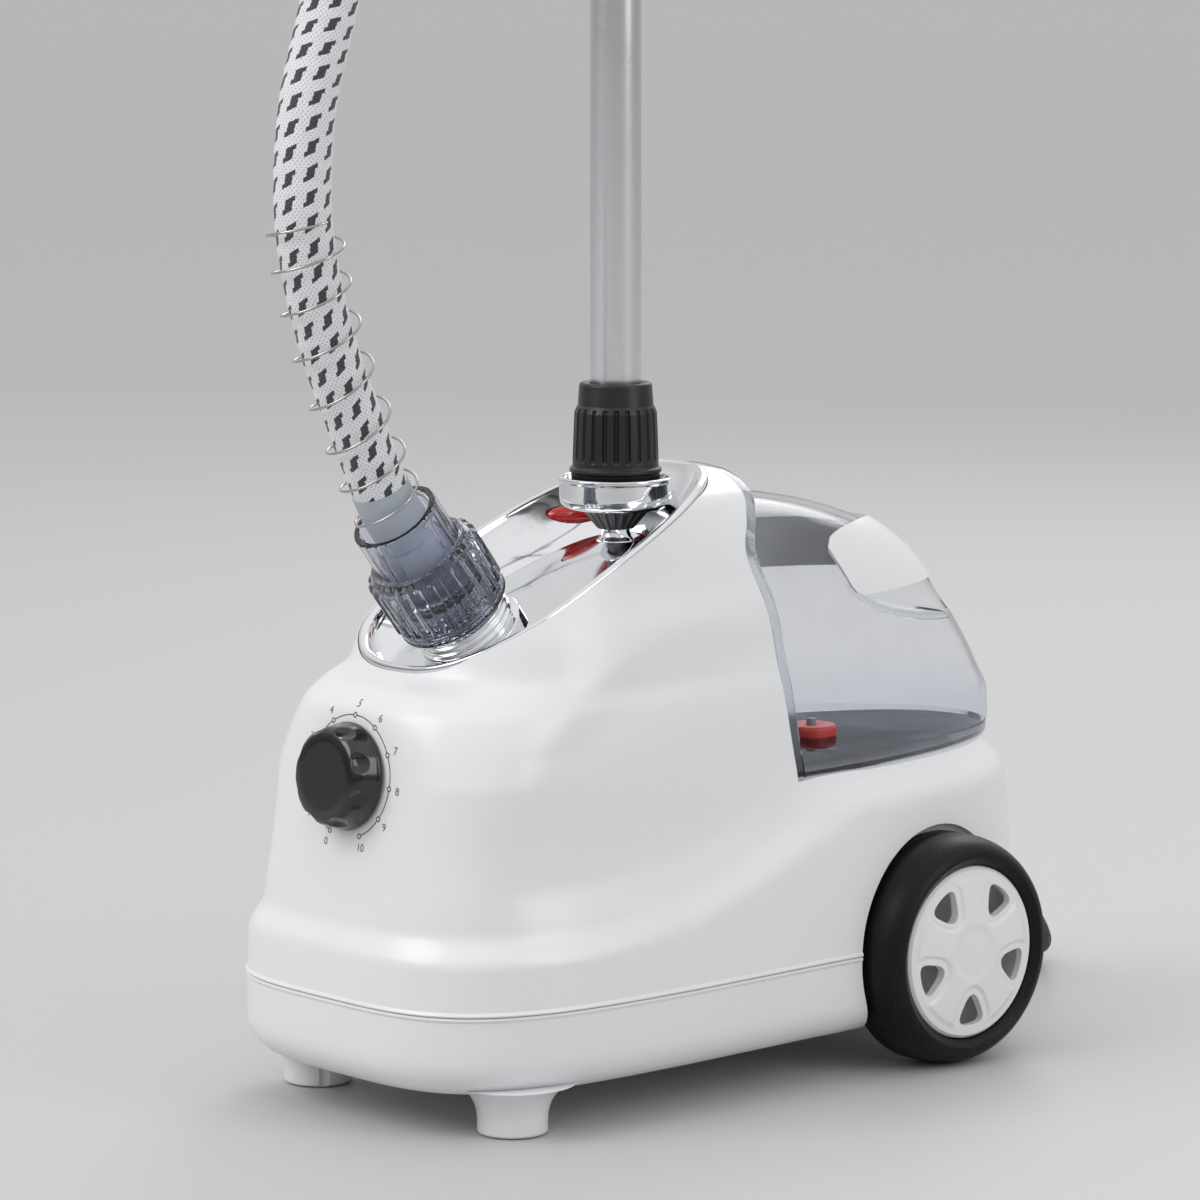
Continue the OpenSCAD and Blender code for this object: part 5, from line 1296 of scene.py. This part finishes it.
stock = {
    "steel": finish("zinc_steel", (0.56, 0.57, 0.58), 0.34, 1.0, grain=(1.2, 0.03), smear=(10, 0.2), dust=0.1),
    "plastic_grey": finish("grey_moulding", (0.16, 0.165, 0.17), 0.42, grain=(0.9, 0.04), smear=(12, 0.12),
                           dust=0.15),
    "cast_alloy": finish("cast_alloy", (0.36, 0.36, 0.37), 0.52, 1.0, grain=(0.6, 0.12), smear=(14, 0.2),
                         rubbed=((0.6, 0.6, 0.6), 0.5)),
    "pipe_brass": finish("drawn_brass", (0.62, 0.45, 0.20), 0.30, 1.0, grain=(1.5, 0.02), smear=(9, 0.25)),
    "silicone": finish("silicone_tube", (0.55, 0.56, 0.55), 0.45, grain=(2, 0.02), smear=(10, 0.1)),
    "lamp_amber": finish("amber_lens", (0.75, 0.30, 0.03), 0.2, grain=(2, 0.01), smear=(5, 0.1)),
    "fuse_white": finish("glazed_fuse", (0.72, 0.71, 0.68), 0.25, grain=(1, 0.02), smear=(6, 0.1)),
    "rubber": rubber, "plastic_black": plastic_black}
for node, body, slot_name, radius in (
        ("foot_pads", "base", "rubber", 0.4), ("pilot_lamp", "base", "lamp_amber", 0.4),
        ("switch_shaft", "knob", "steel", 0.3), ("rotary_switch", "base", "plastic_black", 0.5),
        ("base_screws", "base", "steel", 0.3), ("pole_support", "base", "plastic_grey", 0.5),
        ("pole_collet", "base", "plastic_black", 0.3), ("boiler_lower", "base", "cast_alloy", 0.6),
        ("boiler_lid", "base", "cast_alloy", 0.6), ("thermostat", "base", "steel", 0.3),
        ("thermal_fuse", "base", "fuse_white", 0.3), ("steam_pipe", "base", "pipe_brass", 0),
        ("inlet_cup", "base", "plastic_grey", 0.3), ("feed_tube", "base", "silicone", 0),
        ("valve_plunger", "plunger", "plastic_grey", 0.2), ("valve_spring", "tank", "steel", 0),
        ("axle", "base", "steel", 0.5), ("axle_brackets", "base", "plastic_grey", 0.5),
        ("axle_clips", "base", "steel", 0.2), ("pole_clamp", "base", "plastic_black", 0.7),
        ("clamp_lever", "lever", "plastic_black", 0.9), ("clamp_pin", "base", "steel", 0.3),
        ("head_cradle", "upper_pole", "plastic_black", 0.7), ("steam_trigger", "trigger", "plastic_grey", 0.7),
        ("hanger_hub", "upper_pole", "plastic_black", 0.7), ("hanger_arm_left", "arm_left", "plastic_black", 0.9),
        ("hanger_arm_right", "arm_right", "plastic_black", 0.9), ("hanger_pins", "upper_pole", "steel", 0.2)):
    eased(node + "_piece", node, body, stock[slot_name], radius)
coil, coil_top, valve_travel = bpy.data.objects["valve_spring_piece"], 161.5, 4.0
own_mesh(coil)


# ---- Steam head ----
# Two white half shells with a round grip that the hose enters from below; the steel plate with two rows
# of steam holes sits in the open front, and the trigger is let into the grip.
head_z, head_face, plate_w = 1346.0, -112.0, 104.0
head_rows = [(0.05, 18.5, 18.5, 0), (12, 27, 22, -1), (28, 39.6, 27, -3), (46, 55.8, 31, -5), (62, 60, 32, -6),
             (76, 59.4, 29, -6), (84, 56.4, 24, -5), (87, 52, 19, -4.4), (87.95, 46, 13.5, -4)]


rings = []
t = np.radians(np.arange(0, 360, 5))
c, s = np.sign(np.cos(t)) * np.abs(np.cos(t)) ** 0.8, np.sign(np.sin(t)) * np.abs(np.sin(t)) ** 0.8
for w, d, z in spline([(w, d, z) for z, w, d, y in head_rows], 4):
    y = flowing(*[np.array([r[i] for r in head_rows]) for i in (0, 3)], z)
    z = min(max(z, head_rows[0][0]), head_rows[-1][0])
    rings.append(np.stack([w * c, head_y + y + d * s, np.full(len(t), head_z + z)], 1))
head = stacked("steam_head_shell", rings)
grip = [(0, grip_z + 0.1), (17, grip_z + 0.1), (18.5, grip_z + 4), (19.5, grip_z + 30), (19, grip_z + 60),
        (18, grip_z + 90), (15.5, grip_z + 108), (15.5, head_z + 2), (0, head_z + 2)]
carve(head, "UNION", lathe("grip", rounded(grip, 6, 5), spot(0, head_y, 0), 72))


def slab(name, low, high, round_off=0.0):
    """A block between two corners; round_off eases its outline in front view."""
    (x0, y0, z0), (x1, y1, z1) = low, high
    front = [(x0, z0), (x1, z0), (x1, z1), (x0, z1)]
    made = prism(name, rounded(front, round_off, 5) if round_off else front, -y1, -y0)
    return moved(made, turn("X", 90))


cut(head, slab("front_cut", (-90, head_face - 40, head_z + 8), (90, head_face, head_z + 120)))
recess = slab("plate_recess", (-plate_w / 2 - 0.4, head_face - 2, head_z + 29.6),
              (plate_w / 2 + 0.4, head_face + 1.2, head_z + 74.4), 24)
cut(head, recess)
pocket_x, pocket_low, pocket_high = 7.7, 1277.3, 1324.7
cut(head, slab("trigger_pocket", (-pocket_x, head_y - 30, pocket_low), (pocket_x, head_y - 5.5, pocket_high)))
cut(head, drum("hose_way", spot(0, head_y + 3, 0), 7, grip_z - 1, grip_z + 60, 40))
softened(head, 0.9, 5)
finished(head, shell_white, "upper_pole", ["steam_head"], angle=60)
sole = slab("sole", (-plate_w / 2, head_face - 2.05, head_z + 30),
            (plate_w / 2, head_face - 0.05, head_z + 74), 24)
for count, height in ((7, 62), (6, 44)):
    for k in range(count):
        x = 12 * (k - (count - 1) / 2)
        hole = drum("steam_hole", spot(x, head_face, head_z + height) @ turn("X", 90), 2, -5, 9, 24)
        cut(sole, hole)
edge = sole.modifiers.new("edge", "BEVEL")
edge.width, edge.segments, edge.limit_method, edge.angle_limit = 0.35 * MM, 2, "ANGLE", math.radians(50)
settled(sole)
plate_metal = brushed("brushed_plate", (0.62, 0.62, 0.63), 0.24)
finished(sole, plate_metal, "upper_pole", ["steam_plate"], angle=40)
